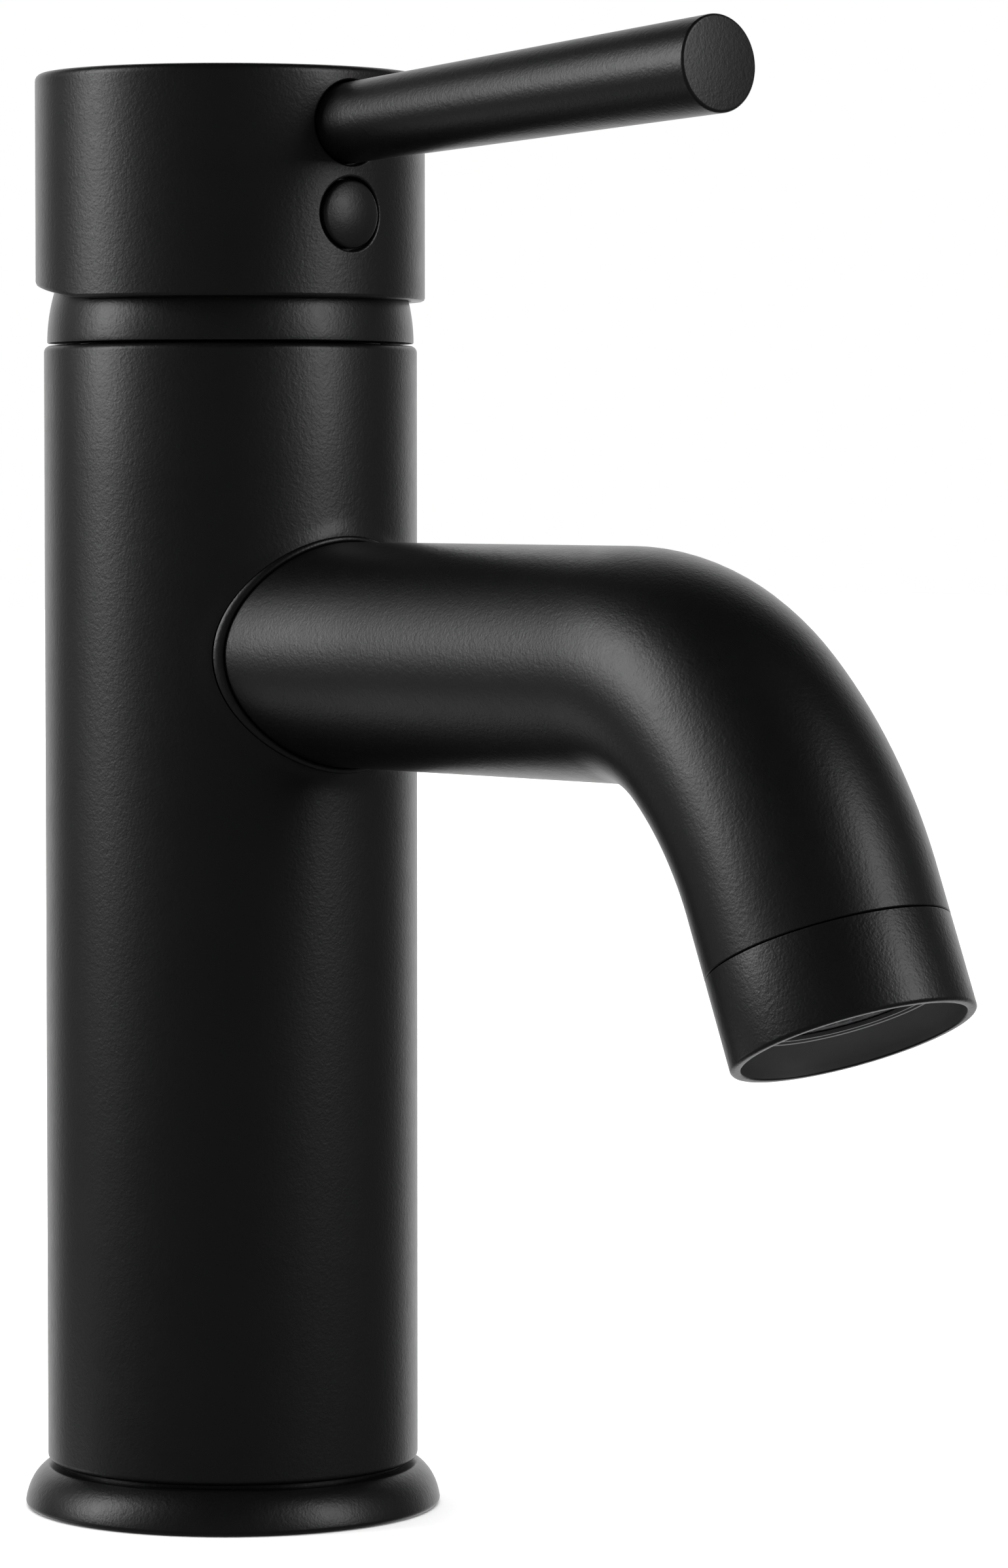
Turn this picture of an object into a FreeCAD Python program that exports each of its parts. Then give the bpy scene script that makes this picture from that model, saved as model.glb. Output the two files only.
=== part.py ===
import FreeCAD, Part
import math
import os

# Single-lever basin mixer faucet, in millimetres, with +Z up.
# The origin is the centre of the foot's underside, on the axis of the hole in the deck.
# +X runs along the spout and the lever. The handle is modelled shut, in the middle of its turn.

V = FreeCAD.Vector
ORIGIN = V(0, 0, 0)
UP = V(0, 0, 1)
FORWARD = V(1, 0, 0)
SIDEWAYS = V(0, 1, 0)
SPARE = 5.0  # how far a cutting shape runs past what it cuts
OVERLAP = 1.0  # how far joined shapes run into each other
EDGE_ARC = 1 - math.sqrt(0.5)  # how far the middle of a quarter round lies inside its corner

# Gaps
FIT = 0.05  # round a piece that is screwed, pressed or brazed in place
RUN = 0.1  # round a piece that turns or slides
SEAT_GAP = 0.2  # left by a seal that stands proud of its groove

# Column
BODY_R = 23.0
BODY_TOP = 143.8
BODY_EDGE = 0.8
BODY_WALL = 3.5
BORE_R = BODY_R - BODY_WALL
SPIGOT_R = BORE_R + 2.1
THREAD_BORE_R = BODY_R - 4.0
CARTRIDGE_BORE_R = THREAD_BORE_R - 1.5

# Foot
FLANGE_FLARE = 2.8
FLANGE_WIDEST_R = BODY_R + FLANGE_FLARE
FLANGE_WIDEST_Z = 0.5
FLANGE_FOOT_R = FLANGE_WIDEST_R - 0.5
FLANGE_LIP_R = BODY_R + 0.1
FLANGE_TOP = 5.2
FLANGE_BELLY = 0.45  # how far the flare bows out from a straight cone
FLANGE_FLOOR = 1.6
FLANGE_OPENING_R = BORE_R - 1.5
BASE_SEAL_THICKNESS = 1.2
BASE_SEAL_INNER_R = FLANGE_OPENING_R + 1.6
BASE_SEAL_OUTER_R = FLANGE_FOOT_R - 1.5
FLANGE_RING_SECTION = 0.7
FLANGE_RING_Z = (FLANGE_FLOOR + FLANGE_TOP) / 2
FLANGE_RING_MIDDLE_R = SPIGOT_R + FIT / 2 - FLANGE_RING_SECTION
SHADOW_GAP = 0.5  # open groove between the flange's lip and the column
BODY_SHOULDER = FLANGE_TOP + SHADOW_GAP

# Tilting stem
DOME_SEAM = 0.3  # between the column's top and the dome
PIVOT_Z = BODY_TOP + DOME_SEAM
PIN_R = 1.5
STEM_HALF_WIDTH = 4.0
STEM_SOCKET_HALF = STEM_HALF_WIDTH + FIT
STEM_HUB_R = 3.4
STEM_NECK_R = 1.4
BALL_R = 2.2
BALL_DROP = 6.0  # from the pivot down to the ball's centre
BALL_Z = PIVOT_Z - BALL_DROP
BALL_GAP = 0.15
TILT = 25.0
SLIDE_TRAVEL = BALL_DROP * math.radians(TILT)

# Discs and driver, from the ball down to the seat
DRIVER_TOP = BALL_Z + 1.8
DRIVER_FLOOR = 1.8
DRIVER_BOTTOM = BALL_Z - BALL_R - RUN - DRIVER_FLOOR
DRIVER_PLATE_R = 9.4
DRIVER_PLATE_TOP = DRIVER_BOTTOM + 1.4
DRIVER_HALF_LENGTH = 4.8
DRIVER_HALF_WIDTH = 5.0
LUG_R = 1.5
LUG_Y = 7.5
LUG_LENGTH = 1.0
DISC_THICKNESS = 3.5
DISC_GAP = 0.03
DISC_REST_X = -SLIDE_TRAVEL / 2
MOVING_DISC_R = 11.5
MOVING_DISC_TOP = DRIVER_BOTTOM - DISC_GAP
MOVING_DISC_BOTTOM = MOVING_DISC_TOP - DISC_THICKNESS
POCKET_R = 5.0
POCKET_FRONT = 3.0
POCKET_HALF_WIDTH = 4.2
POCKET_DEPTH = 1.8
HOUSING_LOWER_BORE_R = CARTRIDGE_BORE_R - 2.3
FIXED_DISC_R = HOUSING_LOWER_BORE_R - 0.4
FIXED_DISC_TOP = MOVING_DISC_BOTTOM - DISC_GAP
FIXED_DISC_BOTTOM = FIXED_DISC_TOP - DISC_THICKNESS
DISC_INLET_X = 5.0
DISC_INLET_Y = 5.6
DISC_INLET_R = 2.2
DISC_OUTLET_X = -4.5
DISC_OUTLET_R = 3.0
DISC_SEAL_SECTION = 0.5
DISC_SEAL_LAND = 0.4  # between a port's edge and its seal
POST_R = 1.3
POST_Y = FIXED_DISC_R - 1.2
POST_LENGTH = 2.6
PORT_SEAL_MIDDLE_R = 4.4
PORT_SEAL_SECTION = 0.7
BASE_TOP = FIXED_DISC_BOTTOM - SEAT_GAP
BASE_BOTTOM = BASE_TOP - 4.0
SEAT_TOP = BASE_BOTTOM - SEAT_GAP

# Rotor and housing, round the driver and the stem
ROTOR_BOTTOM = DRIVER_PLATE_TOP + 2 * RUN
ROTOR_FLANGE_TOP = ROTOR_BOTTOM + 3.1
ROTOR_TOP = PIVOT_Z + 3.5
ROTOR_NECK_R = 10.0
PIN_HALF_LENGTH = ROTOR_NECK_R - 0.6
HOUSING_CAVITY_R = MOVING_DISC_R + SLIDE_TRAVEL / 2 + 0.8
HOUSING_NECK_R = CARTRIDGE_BORE_R - 2.5
HOUSING_SHOULDER = ROTOR_BOTTOM + 0.4
HOUSING_TOP = ROTOR_TOP - 1.0
THREAD_BOTTOM = HOUSING_SHOULDER - 0.8

# Temperature stop
TURN = 50.0
STOP_SPARE = 2.0  # degrees past the turn before the lug meets the wall
STOP_LUG_HALF_ANGLE = 10.0
STOP_LUG_R = HOUSING_NECK_R - 0.6
STOP_WALL_INNER_R = HOUSING_NECK_R - 2.3
STOP_WALL_HEIGHT = 2.0
STOP_RING_R = STOP_WALL_INNER_R - 0.4
STOP_RING_THICKNESS = 1.6

# Inlet block, supply tubes and cartridge seat
BLOCK_BOTTOM = 20.0  # above the deck
HOSE_PORT_R = 4.5
HOSE_PORT_LENGTH = 11.0
STUD_HOLE_R = 3.4
STUD_HOLE_LENGTH = 14.0
STUD_X = -9.0
BLOCK_RING_SECTION = 0.9
BLOCK_RING_MIDDLE_R = BORE_R - FIT / 2 - BLOCK_RING_SECTION
TUBE_R = 5.0
TUBE_BORE_R = TUBE_R - 1.0
TUBE_SOCKET = 5.0
TUBE_BOTTOM = BLOCK_BOTTOM + HOSE_PORT_LENGTH + 2.0
BLOCK_TOP = TUBE_BOTTOM + TUBE_SOCKET
BLOCK_RING_Z = BLOCK_TOP - TUBE_SOCKET / 2
SEAT_BOTTOM = SEAT_TOP - 4.0
SEAT_BOSS_R = TUBE_R + 2.0
SEAT_BOSS_BOTTOM = SEAT_BOTTOM - 6.0
TUBE_TOP = SEAT_BOSS_BOTTOM + TUBE_SOCKET
INLET_X = 5.5
INLET_Y = 7.5
INLET_R = TUBE_BORE_R - 1.0
OUTLET_X = -7.5
OUTLET_R = 3.6
PEG_R = 2.0
PEG_Y = 13.0
PEG_LENGTH = 3.0
INLETS = (V(INLET_X, INLET_Y, 0), V(INLET_X, -INLET_Y, 0))
DISC_INLETS = (V(DISC_INLET_X, DISC_INLET_Y, 0), V(DISC_INLET_X, -DISC_INLET_Y, 0))
OUTLET = V(OUTLET_X, 0, 0)
DISC_OUTLET = V(DISC_OUTLET_X, 0, 0)

# Spout
SPOUT_DROP = 37.6  # from the column's top down to the spout's axis
SPOUT_Z = BODY_TOP - SPOUT_DROP
SPOUT_ROOT_R = 13.65
SPOUT_FLARE = 0.45  # how much wider the spout is at its end
SPOUT_END_R = SPOUT_ROOT_R + SPOUT_FLARE
SPOUT_WALL = 2.15
SPOUT_BORE_R = SPOUT_ROOT_R - SPOUT_WALL
SPOUT_REACH = 51.6  # from the column's face to the start of the bend
SPOUT_STRAIGHT = BODY_R + SPOUT_REACH
SPOUT_BENDS = ((27.0, 42.0), (50.0, 25.0))  # centre-line radius and angle, tight bend first
SPOUT_TAIL = 6.6  # straight length between the bend and the collar
BEND_STEPS = 6  # sections lofted through each bend

# Aerator
COLLAR_LENGTH = 10.8
COLLAR_EDGE = 0.5
COLLAR_SEAM = 0.15
MOUTH_WALL = 1.15
MOUTH_R = SPOUT_END_R - MOUTH_WALL
MOUTH_DEPTH = 2.2
LEDGE_Z = 3.3
LEDGE_TOP = LEDGE_Z + 0.9
NECK_R = SPOUT_END_R - SPOUT_WALL
NECK_LENGTH = 7.0
NECK_TOP = COLLAR_LENGTH + NECK_LENGTH
INSERT_R = NECK_R - 1.05
LEDGE_R = INSERT_R - 0.5
INSERT_CORE_R = INSERT_R - 0.8
INSERT_BOTTOM = LEDGE_TOP + FIT
SCREEN_THICKNESS = 0.5
SCREEN_REACH = INSERT_R - 2.3
SCREEN_CROWN = 1.2
INSERT_TOP = NECK_TOP - SCREEN_THICKNESS
HONEYCOMB_TOP = INSERT_BOTTOM + 3.0
CELL_PITCH = 1.6
CELL_WALL = 0.25
DIFFUSER_TOP = INSERT_TOP - 2.5
DIFFUSER_BOTTOM = DIFFUSER_TOP - 1.5
DIFFUSER_PITCH = 2.7
DIFFUSER_HOLE_R = 0.6
WASHER_THICKNESS = 1.0
WASHER_INNER_R = NECK_R - 2.35

# Retaining nut and dome
NUT_HEAD_R = THREAD_BORE_R - 0.5
NUT_HEAD_HEIGHT = 5.3
NUT_TOP = BODY_TOP + NUT_HEAD_HEIGHT
NUT_SLOT_WIDTH = 3.0
NUT_SLOT_DEPTH = 1.0
NUT_RING_SECTION = 0.8
NUT_RING_Z = (BODY_TOP + NUT_TOP) / 2
NUT_RING_MIDDLE_R = NUT_HEAD_R + RUN - FIT / 2 - NUT_RING_SECTION
DOME_R = BODY_R - 0.4
DOME_ROOF = 3.0
DOME_TOP = NUT_TOP + DOME_ROOF
DOME_LIP_R = HOUSING_NECK_R + 0.6

# Handle. The cap's inner rim just clears the dome's ball.
CAP_BOTTOM = PIVOT_Z + 5.2
CAP_HEIGHT = 27.8
CAP_TOP = CAP_BOTTOM + CAP_HEIGHT
CAP_ROOF = 3.3
CAP_CEILING = CAP_TOP - CAP_ROOF
CAP_BALL_GAP = 0.15
CAP_INNER_R = math.sqrt((DOME_R + CAP_BALL_GAP) ** 2 - (CAP_BOTTOM - PIVOT_Z) ** 2)
CAP_WALL = 1.85
CAP_R = CAP_INNER_R + CAP_WALL
CAP_EDGE = 0.9
CAP_RIM_EDGE = 0.4
CAP_RELIEF = 8.0  # degrees that the back half of the rim rises, to clear the column when lifted
BOSS_R = 2 * STEM_HALF_WIDTH
BOSS_BOTTOM = DOME_TOP + 2.5
WEB_HALF_WIDTH = 7.2
STEM_TOP = CAP_CEILING - 3.2
LEVER_Z = CAP_TOP - 8.2  # where the lever's axis crosses the column's axis
LEVER_RISE = 3.25
LEVER_SHOULDER = CAP_R - 4.0
LEVER_REACH = 65.85  # from the cap's side to the lever's end
LEVER_END = CAP_R + LEVER_REACH
LEVER_ROOT_R = 4.8
LEVER_END_R = 5.6
LEVER_END_EDGE = 0.3
LEVER_SOCKET_GAP = 0.3
LEVER_SPIGOT_R = 3.0
LEVER_SPIGOT_LENGTH = 10.5
SCREW_Z = CAP_BOTTOM + 10.0
SCREW_R = 2.95
SCREW_LENGTH = 8.0
SCREW_KEY = 3.0  # across the flats of the hexagon socket
SCREW_KEY_DEPTH = 3.0
BUTTON_HOLE_R = 4.45
BUTTON_R = BUTTON_HOLE_R - 0.3
BUTTON_FLOOR = CAP_R - 4.8
BUTTON_HEIGHT = 4.7
BUTTON_CROWN = 0.7
BUTTON_TAIL_LENGTH = 4.0


def rod(radius, bottom, top, centre=ORIGIN):
    """Upright cylinder between two heights."""
    return Part.makeCylinder(radius, top - bottom, centre + UP * bottom)


def ring(outer, inner, bottom, top, centre=ORIGIN):
    """Upright tube between two heights."""
    bore = rod(inner, bottom - SPARE, top + SPARE, centre)
    return rod(outer, bottom, top, centre).cut(bore)


def rod_along(direction, radius, start, length):
    """Cylinder along a direction."""
    return Part.makeCylinder(radius, length, start, direction)


def box(low, high):
    """Box between two corners."""
    size = V(*high) - V(*low)
    return Part.makeBox(size.x, size.y, size.z, V(*low))


def o_ring(middle, section, height, centre=ORIGIN):
    """Round rubber ring lying flat."""
    return Part.makeTorus(middle, section, centre + UP * height)


def groove(middle, section, bottom, top, centre=ORIGIN):
    """The ring-shaped room that an O-ring lies in."""
    return ring(middle + section + FIT, middle - section - FIT, bottom, top, centre)


def turned(start, *steps):
    """Solid turned about the Z axis from an outline of (radius, height) points.

    A step is the next point, or a pair of points that an arc runs through to."""

    def at(point):
        return V(point[0], 0, point[1])

    edges = []
    here = start
    for step in steps + (start,):
        if isinstance(step[0], tuple):
            through, end = step
            edges.append(Part.Arc(at(here), at(through), at(end)).toShape())
        else:
            end = step
            edges.append(Part.LineSegment(at(here), at(end)).toShape())
        here = end
    return Part.Face(Part.Wire(edges)).revolve(ORIGIN, UP, 360)


def hexagon(across, height, turn=0):
    """Six-sided face lying flat, this far across its flats."""
    corners = []
    for corner in range(7):
        angle = math.radians(60 * corner + turn)
        corners.append(V(math.cos(angle), math.sin(angle), 0) * (across / math.sqrt(3)) + UP * height)
    return Part.Face(Part.makePolygon(corners))


def rectangle(inner, outer, bottom, top):
    """Upright rectangle beside the Z axis, ready to be swept round it."""
    corners = [V(inner, 0, bottom), V(outer, 0, bottom), V(outer, 0, top), V(inner, 0, top)]
    return Part.Face(Part.makePolygon(corners + corners[:1]))


def crown_half(radius, crown):
    """Half-way out along a shallow dome: the radius there, and the height above the dome's edge."""
    ball = (radius**2 + crown**2) / (2 * crown)
    half = radius / 2
    return half, crown - ball + math.sqrt(ball**2 - half**2)


def soften(shape, size, *rims):
    """Round the full circular edges that lie at the given (radius, height)."""
    edges = []
    for edge in shape.Edges:
        if not isinstance(edge.Curve, Part.Circle):
            continue
        here = (edge.Curve.Radius, edge.Curve.Center.z)
        if any(math.dist(here, rim) < 1e-4 for rim in rims):
            edges.append(edge)
    return shape.makeFillet(size, edges)


def joined(shapes):
    """One solid from overlapping solids, with leftover seams removed."""
    first, *rest = shapes
    return first.fuse(rest).removeSplitter()


def group(shapes):
    """Separate like pieces that share one node."""
    return Part.makeCompound(shapes)


# ------------------------------------------------------ foot and column


def base_flange():
    """Flared foot ring with an inner floor that the column stands on."""
    middle = ((FLANGE_WIDEST_R + FLANGE_LIP_R) / 2, (FLANGE_WIDEST_Z + FLANGE_TOP) / 2)
    flare = (middle[0] + FLANGE_BELLY, middle[1] + FLANGE_BELLY)
    lip_bore = SPIGOT_R + FIT
    solid = turned(
        (FLANGE_OPENING_R, 0),
        (FLANGE_FOOT_R, 0),
        (FLANGE_WIDEST_R, FLANGE_WIDEST_Z),
        (flare, (FLANGE_LIP_R, FLANGE_TOP)),
        (lip_bore, FLANGE_TOP),
        (lip_bore, FLANGE_FLOOR),
        (FLANGE_OPENING_R, FLANGE_FLOOR),
    )
    recess = ring(BASE_SEAL_OUTER_R + FIT, BASE_SEAL_INNER_R - FIT, -SPARE, BASE_SEAL_THICKNESS)
    return solid.cut(recess)


def base_seal():
    """Flat rubber ring in the foot's underside, flush with the deck."""
    return ring(BASE_SEAL_OUTER_R, BASE_SEAL_INNER_R, 0, BASE_SEAL_THICKNESS - FIT)


def flange_o_ring():
    """Ring between the column's spigot and the foot."""
    return o_ring(FLANGE_RING_MIDDLE_R, FLANGE_RING_SECTION, FLANGE_RING_Z)


def body():
    """Round column: spigot below, bore for the inlet block, stepped top for the cartridge and its nut."""
    column = rod(BODY_R, BODY_SHOULDER, BODY_TOP)
    column = soften(column, BODY_EDGE, (BODY_R, BODY_SHOULDER), (BODY_R, BODY_TOP))
    column = joined([column, rod(SPIGOT_R, FLANGE_FLOOR + FIT, BODY_SHOULDER + OVERLAP)])
    spout_hole = rod_along(FORWARD, SPOUT_ROOT_R + FIT, UP * SPOUT_Z, BODY_R + SPARE)
    ring_room = ring(
        SPIGOT_R + SPARE,
        FLANGE_RING_MIDDLE_R - FLANGE_RING_SECTION - FIT,
        FLANGE_RING_Z - FLANGE_RING_SECTION - FIT,
        FLANGE_RING_Z + FLANGE_RING_SECTION + FIT,
    )
    hollow = [
        rod(BORE_R, -SPARE, SEAT_TOP),
        rod(CARTRIDGE_BORE_R, SEAT_TOP - OVERLAP, BODY_TOP),
        rod(THREAD_BORE_R, THREAD_BOTTOM, BODY_TOP + SPARE),
        spout_hole,
        ring_room,
    ]
    return column.cut(hollow)


# ------------------------------------------------------ water way


def inlet_block():
    """Brass plug screwed into the column from below: two hose ports, and a blind hole for the fixing stud."""
    solid = rod(BORE_R - FIT, BLOCK_BOTTOM, BLOCK_TOP)
    holes = [rod(STUD_HOLE_R, BLOCK_BOTTOM, BLOCK_BOTTOM + STUD_HOLE_LENGTH, V(STUD_X, 0, 0))]
    for inlet in INLETS:
        holes.append(rod(HOSE_PORT_R, BLOCK_BOTTOM, BLOCK_BOTTOM + HOSE_PORT_LENGTH, inlet))
        holes.append(rod(INLET_R, BLOCK_BOTTOM, BLOCK_TOP, inlet))
        holes.append(rod(TUBE_R + FIT, TUBE_BOTTOM, BLOCK_TOP + SPARE, inlet))
    ring_room = ring(
        BORE_R + SPARE,
        BLOCK_RING_MIDDLE_R - BLOCK_RING_SECTION - FIT,
        BLOCK_RING_Z - BLOCK_RING_SECTION - FIT,
        BLOCK_RING_Z + BLOCK_RING_SECTION + FIT,
    )
    return solid.cut(holes + [ring_room])


def block_o_ring():
    """Ring that keeps the mixed water above the inlet block."""
    return o_ring(BLOCK_RING_MIDDLE_R, BLOCK_RING_SECTION, BLOCK_RING_Z)


def supply_tubes():
    """Hot and cold tubes from the inlet block up to the cartridge seat."""
    return group([ring(TUBE_R, TUBE_BORE_R, TUBE_BOTTOM + FIT, TUBE_TOP - FIT, inlet) for inlet in INLETS])


def cartridge_seat():
    """Disc under the cartridge, with a socket for each tube and a way down for the mixed water."""
    plate = rod(BORE_R - FIT, SEAT_BOTTOM, SEAT_TOP)
    bosses = [rod(SEAT_BOSS_R, SEAT_BOSS_BOTTOM, SEAT_TOP, inlet) for inlet in INLETS]
    solid = joined([plate] + bosses)
    holes = [rod(OUTLET_R, SEAT_BOTTOM - SPARE, SEAT_TOP + SPARE, OUTLET)]
    for inlet in INLETS:
        holes.append(rod(INLET_R, TUBE_TOP - OVERLAP, SEAT_TOP + SPARE, inlet))
        holes.append(rod(TUBE_R + FIT, SEAT_BOSS_BOTTOM - SPARE, TUBE_TOP, inlet))
    for side in (-1, 1):
        holes.append(rod(PEG_R + FIT, SEAT_TOP - PEG_LENGTH, SEAT_TOP + SPARE, V(0, side * PEG_Y, 0)))
    return solid.cut(holes)


# ------------------------------------------------------ spout


def spout_stations():
    """Point and direction at the start of the bends and at the end of each, as (point, degrees down)."""
    point = V(SPOUT_STRAIGHT, 0, SPOUT_Z)
    angle = 0.0
    stations = [(point, angle)]
    for radius, turn in SPOUT_BENDS:
        point = along_bend(point, angle, radius, turn)
        angle += turn
        stations.append((point, angle))
    return stations


def heading(angle):
    """Direction in the XZ plane, this many degrees below +X."""
    return V(math.cos(math.radians(angle)), 0, -math.sin(math.radians(angle)))


def along_bend(point, angle, radius, turn):
    """Where a bend that starts at a point and angle has got to after some degrees of turn."""
    centre = point + heading(angle + 90) * radius
    return centre - heading(angle + turn + 90) * radius


def circle(radius, point, angle):
    return Part.Wire(Part.makeCircle(radius, point, heading(angle)))


def bend_skin():
    """Outside of the bends: circles that grow evenly from the root's radius to the end's."""
    total = sum(turn for _, turn in SPOUT_BENDS)
    wires = []
    for index, (radius, turn) in enumerate(SPOUT_BENDS):
        point, angle = spout_stations()[index]
        for step in range(BEND_STEPS + 1):
            if index and not step:
                continue
            turned_by = turn * step / BEND_STEPS
            share = (angle + turned_by) / total
            size = SPOUT_ROOT_R + (SPOUT_END_R - SPOUT_ROOT_R) * share
            wires.append(circle(size, along_bend(point, angle, radius, turned_by), angle + turned_by))
    return Part.makeLoft(wires, True, False)


def bend_core(radius):
    """Inside of the bends, at one radius."""
    solids = []
    for index, (bend_radius, turn) in enumerate(SPOUT_BENDS):
        point, angle = spout_stations()[index]
        face = Part.Face(circle(radius, point, angle))
        centre = point + heading(angle + 90) * bend_radius
        solids.append(face.revolve(centre, SIDEWAYS, turn))
    return solids


def tail_end():
    point, angle = spout_stations()[-1]
    return point + heading(angle) * SPOUT_TAIL


def outlet_centre():
    """Centre of the collar's open end."""
    return tail_end() + heading(tail_angle()) * COLLAR_LENGTH


def tail_angle():
    return spout_stations()[-1][1]


def spout():
    """Curved tube brazed into the column, with a threaded end for the aerator collar."""
    bend_end, angle = spout_stations()[-1]
    down = heading(angle)
    skin = joined(
        [
            rod_along(FORWARD, SPOUT_ROOT_R, UP * SPOUT_Z, SPOUT_STRAIGHT),
            bend_skin(),
            rod_along(down, SPOUT_END_R, bend_end, SPOUT_TAIL - COLLAR_SEAM),
        ]
    )
    socket_depth = NECK_LENGTH + WASHER_THICKNESS
    hollow = [
        rod(BORE_R, SPOUT_Z - 2 * SPOUT_ROOT_R, SPOUT_Z + 2 * SPOUT_ROOT_R),
        rod_along(FORWARD, SPOUT_BORE_R, UP * SPOUT_Z, SPOUT_STRAIGHT),
        *bend_core(SPOUT_BORE_R),
        rod_along(down, SPOUT_BORE_R, bend_end, SPOUT_TAIL + SPARE),
        rod_along(down, NECK_R + FIT, tail_end() - down * socket_depth, socket_depth + SPARE),
    ]
    return skin.cut(hollow)


# ------------------------------------------------------ aerator, made upright with its open end at 0


def at_outlet(shape):
    """Put a piece made upright about +Z on the spout's end, with +Z up the spout."""
    placed = shape.copy()
    turn = FreeCAD.Rotation(UP, heading(tail_angle()) * -1)
    placed.Placement = FreeCAD.Placement(outlet_centre(), turn)
    return placed


def aerator_collar():
    """Threaded collar that carries on the spout's outside and holds the insert."""
    mouth_edge = COLLAR_EDGE / 2
    solid = turned(
        (MOUTH_R + mouth_edge, 0),
        (SPOUT_END_R - COLLAR_EDGE, 0),
        ((SPOUT_END_R - COLLAR_EDGE * EDGE_ARC, COLLAR_EDGE * EDGE_ARC), (SPOUT_END_R, COLLAR_EDGE)),
        (SPOUT_END_R, COLLAR_LENGTH),
        (NECK_R, COLLAR_LENGTH),
        (NECK_R, NECK_TOP),
        (INSERT_R + FIT, NECK_TOP),
        (INSERT_R + FIT, LEDGE_TOP),
        (LEDGE_R, LEDGE_TOP),
        (LEDGE_R, LEDGE_Z),
        (MOUTH_R, MOUTH_DEPTH),
        (MOUTH_R, mouth_edge),
    )
    return at_outlet(solid)


def aerator_sleeve():
    """Plastic sleeve that holds the honeycomb and the diffuser."""
    return at_outlet(ring(INSERT_R, INSERT_CORE_R, INSERT_BOTTOM, INSERT_TOP))


def honeycomb_cells(radius):
    """Centres of a honeycomb's cells that lie wholly inside a radius."""
    reach = int(radius / CELL_PITCH) + 1
    centres = []
    for column in range(-reach, reach + 1):
        for row in range(-reach, reach + 1):
            x = (column + row / 2) * CELL_PITCH
            y = row * CELL_PITCH * math.sqrt(3) / 2
            if math.hypot(x, y) + CELL_PITCH / 2 < radius:
                centres.append(V(x, y, 0))
    return centres


def aerator_honeycomb():
    """Flow straightener with six-sided cells, the part that shows inside the collar."""
    outer = INSERT_CORE_R - FIT
    plate = rod(outer, INSERT_BOTTOM, HONEYCOMB_TOP)
    height = HONEYCOMB_TOP - INSERT_BOTTOM + 2 * SPARE
    cell = hexagon(CELL_PITCH - CELL_WALL, INSERT_BOTTOM - SPARE, 30).extrude(UP * height)
    cells = [cell.translated(centre) for centre in honeycomb_cells(outer - CELL_WALL)]
    return at_outlet(plate.cut(cells))


def aerator_diffuser():
    """Plate with rings of small holes that breaks up the stream."""
    outer = INSERT_CORE_R - FIT
    plate = rod(outer, DIFFUSER_BOTTOM, DIFFUSER_TOP)
    circles = int((outer - 2 * DIFFUSER_HOLE_R) / DIFFUSER_PITCH)
    holes = []
    for circle_number in range(1, circles + 1):
        count = 6 * circle_number
        for index in range(count):
            angle = 2 * math.pi * index / count
            centre = V(math.cos(angle), math.sin(angle), 0) * (DIFFUSER_PITCH * circle_number)
            holes.append(rod(DIFFUSER_HOLE_R, DIFFUSER_BOTTOM - SPARE, DIFFUSER_TOP + SPARE, centre))
    return at_outlet(plate.cut(holes))


def aerator_screen():
    """Thin domed strainer on top of the sleeve."""
    bottom = INSERT_TOP + FIT / 2
    top = bottom + SCREEN_THICKNESS - FIT
    half, rise = crown_half(SCREEN_REACH, SCREEN_CROWN)
    solid = turned(
        (0, bottom + SCREEN_CROWN),
        ((half, bottom + rise), (SCREEN_REACH, bottom)),
        (INSERT_R, bottom),
        (INSERT_R, top),
        (SCREEN_REACH, top),
        ((half, top + rise), (0, top + SCREEN_CROWN)),
    )
    return at_outlet(solid)


def aerator_washer():
    """Rubber washer between the collar's neck and the spout."""
    bottom = NECK_TOP + FIT
    return at_outlet(ring(NECK_R - FIT, WASHER_INNER_R, bottom, bottom + WASHER_THICKNESS - 2 * FIT))


# ------------------------------------------------------ cartridge


def port_seal_places():
    return INLETS + (OUTLET,)


def cartridge_housing():
    """Plastic case of the cartridge, with the wall that stops the handle's turn."""
    solid = joined(
        [
            rod(CARTRIDGE_BORE_R - RUN, SEAT_TOP + FIT, HOUSING_SHOULDER),
            rod(HOUSING_NECK_R, SEAT_TOP + FIT, HOUSING_TOP),
        ]
    )
    solid = solid.cut(
        [
            rod(HOUSING_LOWER_BORE_R, SEAT_TOP - SPARE, FIXED_DISC_TOP + RUN),
            rod(HOUSING_CAVITY_R, SEAT_TOP, ROTOR_FLANGE_TOP + RUN),
            rod(ROTOR_NECK_R + RUN, SEAT_TOP, HOUSING_TOP + SPARE),
        ]
    )
    half_gap = TURN + STOP_SPARE + STOP_LUG_HALF_ANGLE
    wall_top = HOUSING_TOP + STOP_WALL_HEIGHT
    wall = rectangle(STOP_WALL_INNER_R, HOUSING_NECK_R, HOUSING_TOP - OVERLAP, wall_top)
    wall = wall.revolve(ORIGIN, UP, 360 - 2 * half_gap)
    wall.rotate(ORIGIN, UP, half_gap)
    return joined([solid, wall])


def seal_groove(place, middle, section, face, depth):
    """Groove that runs from a face into a piece; depth is negative for a groove that goes down."""
    low, high = sorted((face, face + depth))
    return groove(middle, section, low, high, place)


def disc_seal_places():
    """Place and ring radius of each seal under the fixed disc."""
    inlet = DISC_INLET_R + DISC_SEAL_LAND + DISC_SEAL_SECTION
    outlet = DISC_OUTLET_R + DISC_SEAL_LAND + DISC_SEAL_SECTION
    return [(place, inlet) for place in DISC_INLETS] + [(DISC_OUTLET, outlet)]


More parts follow.
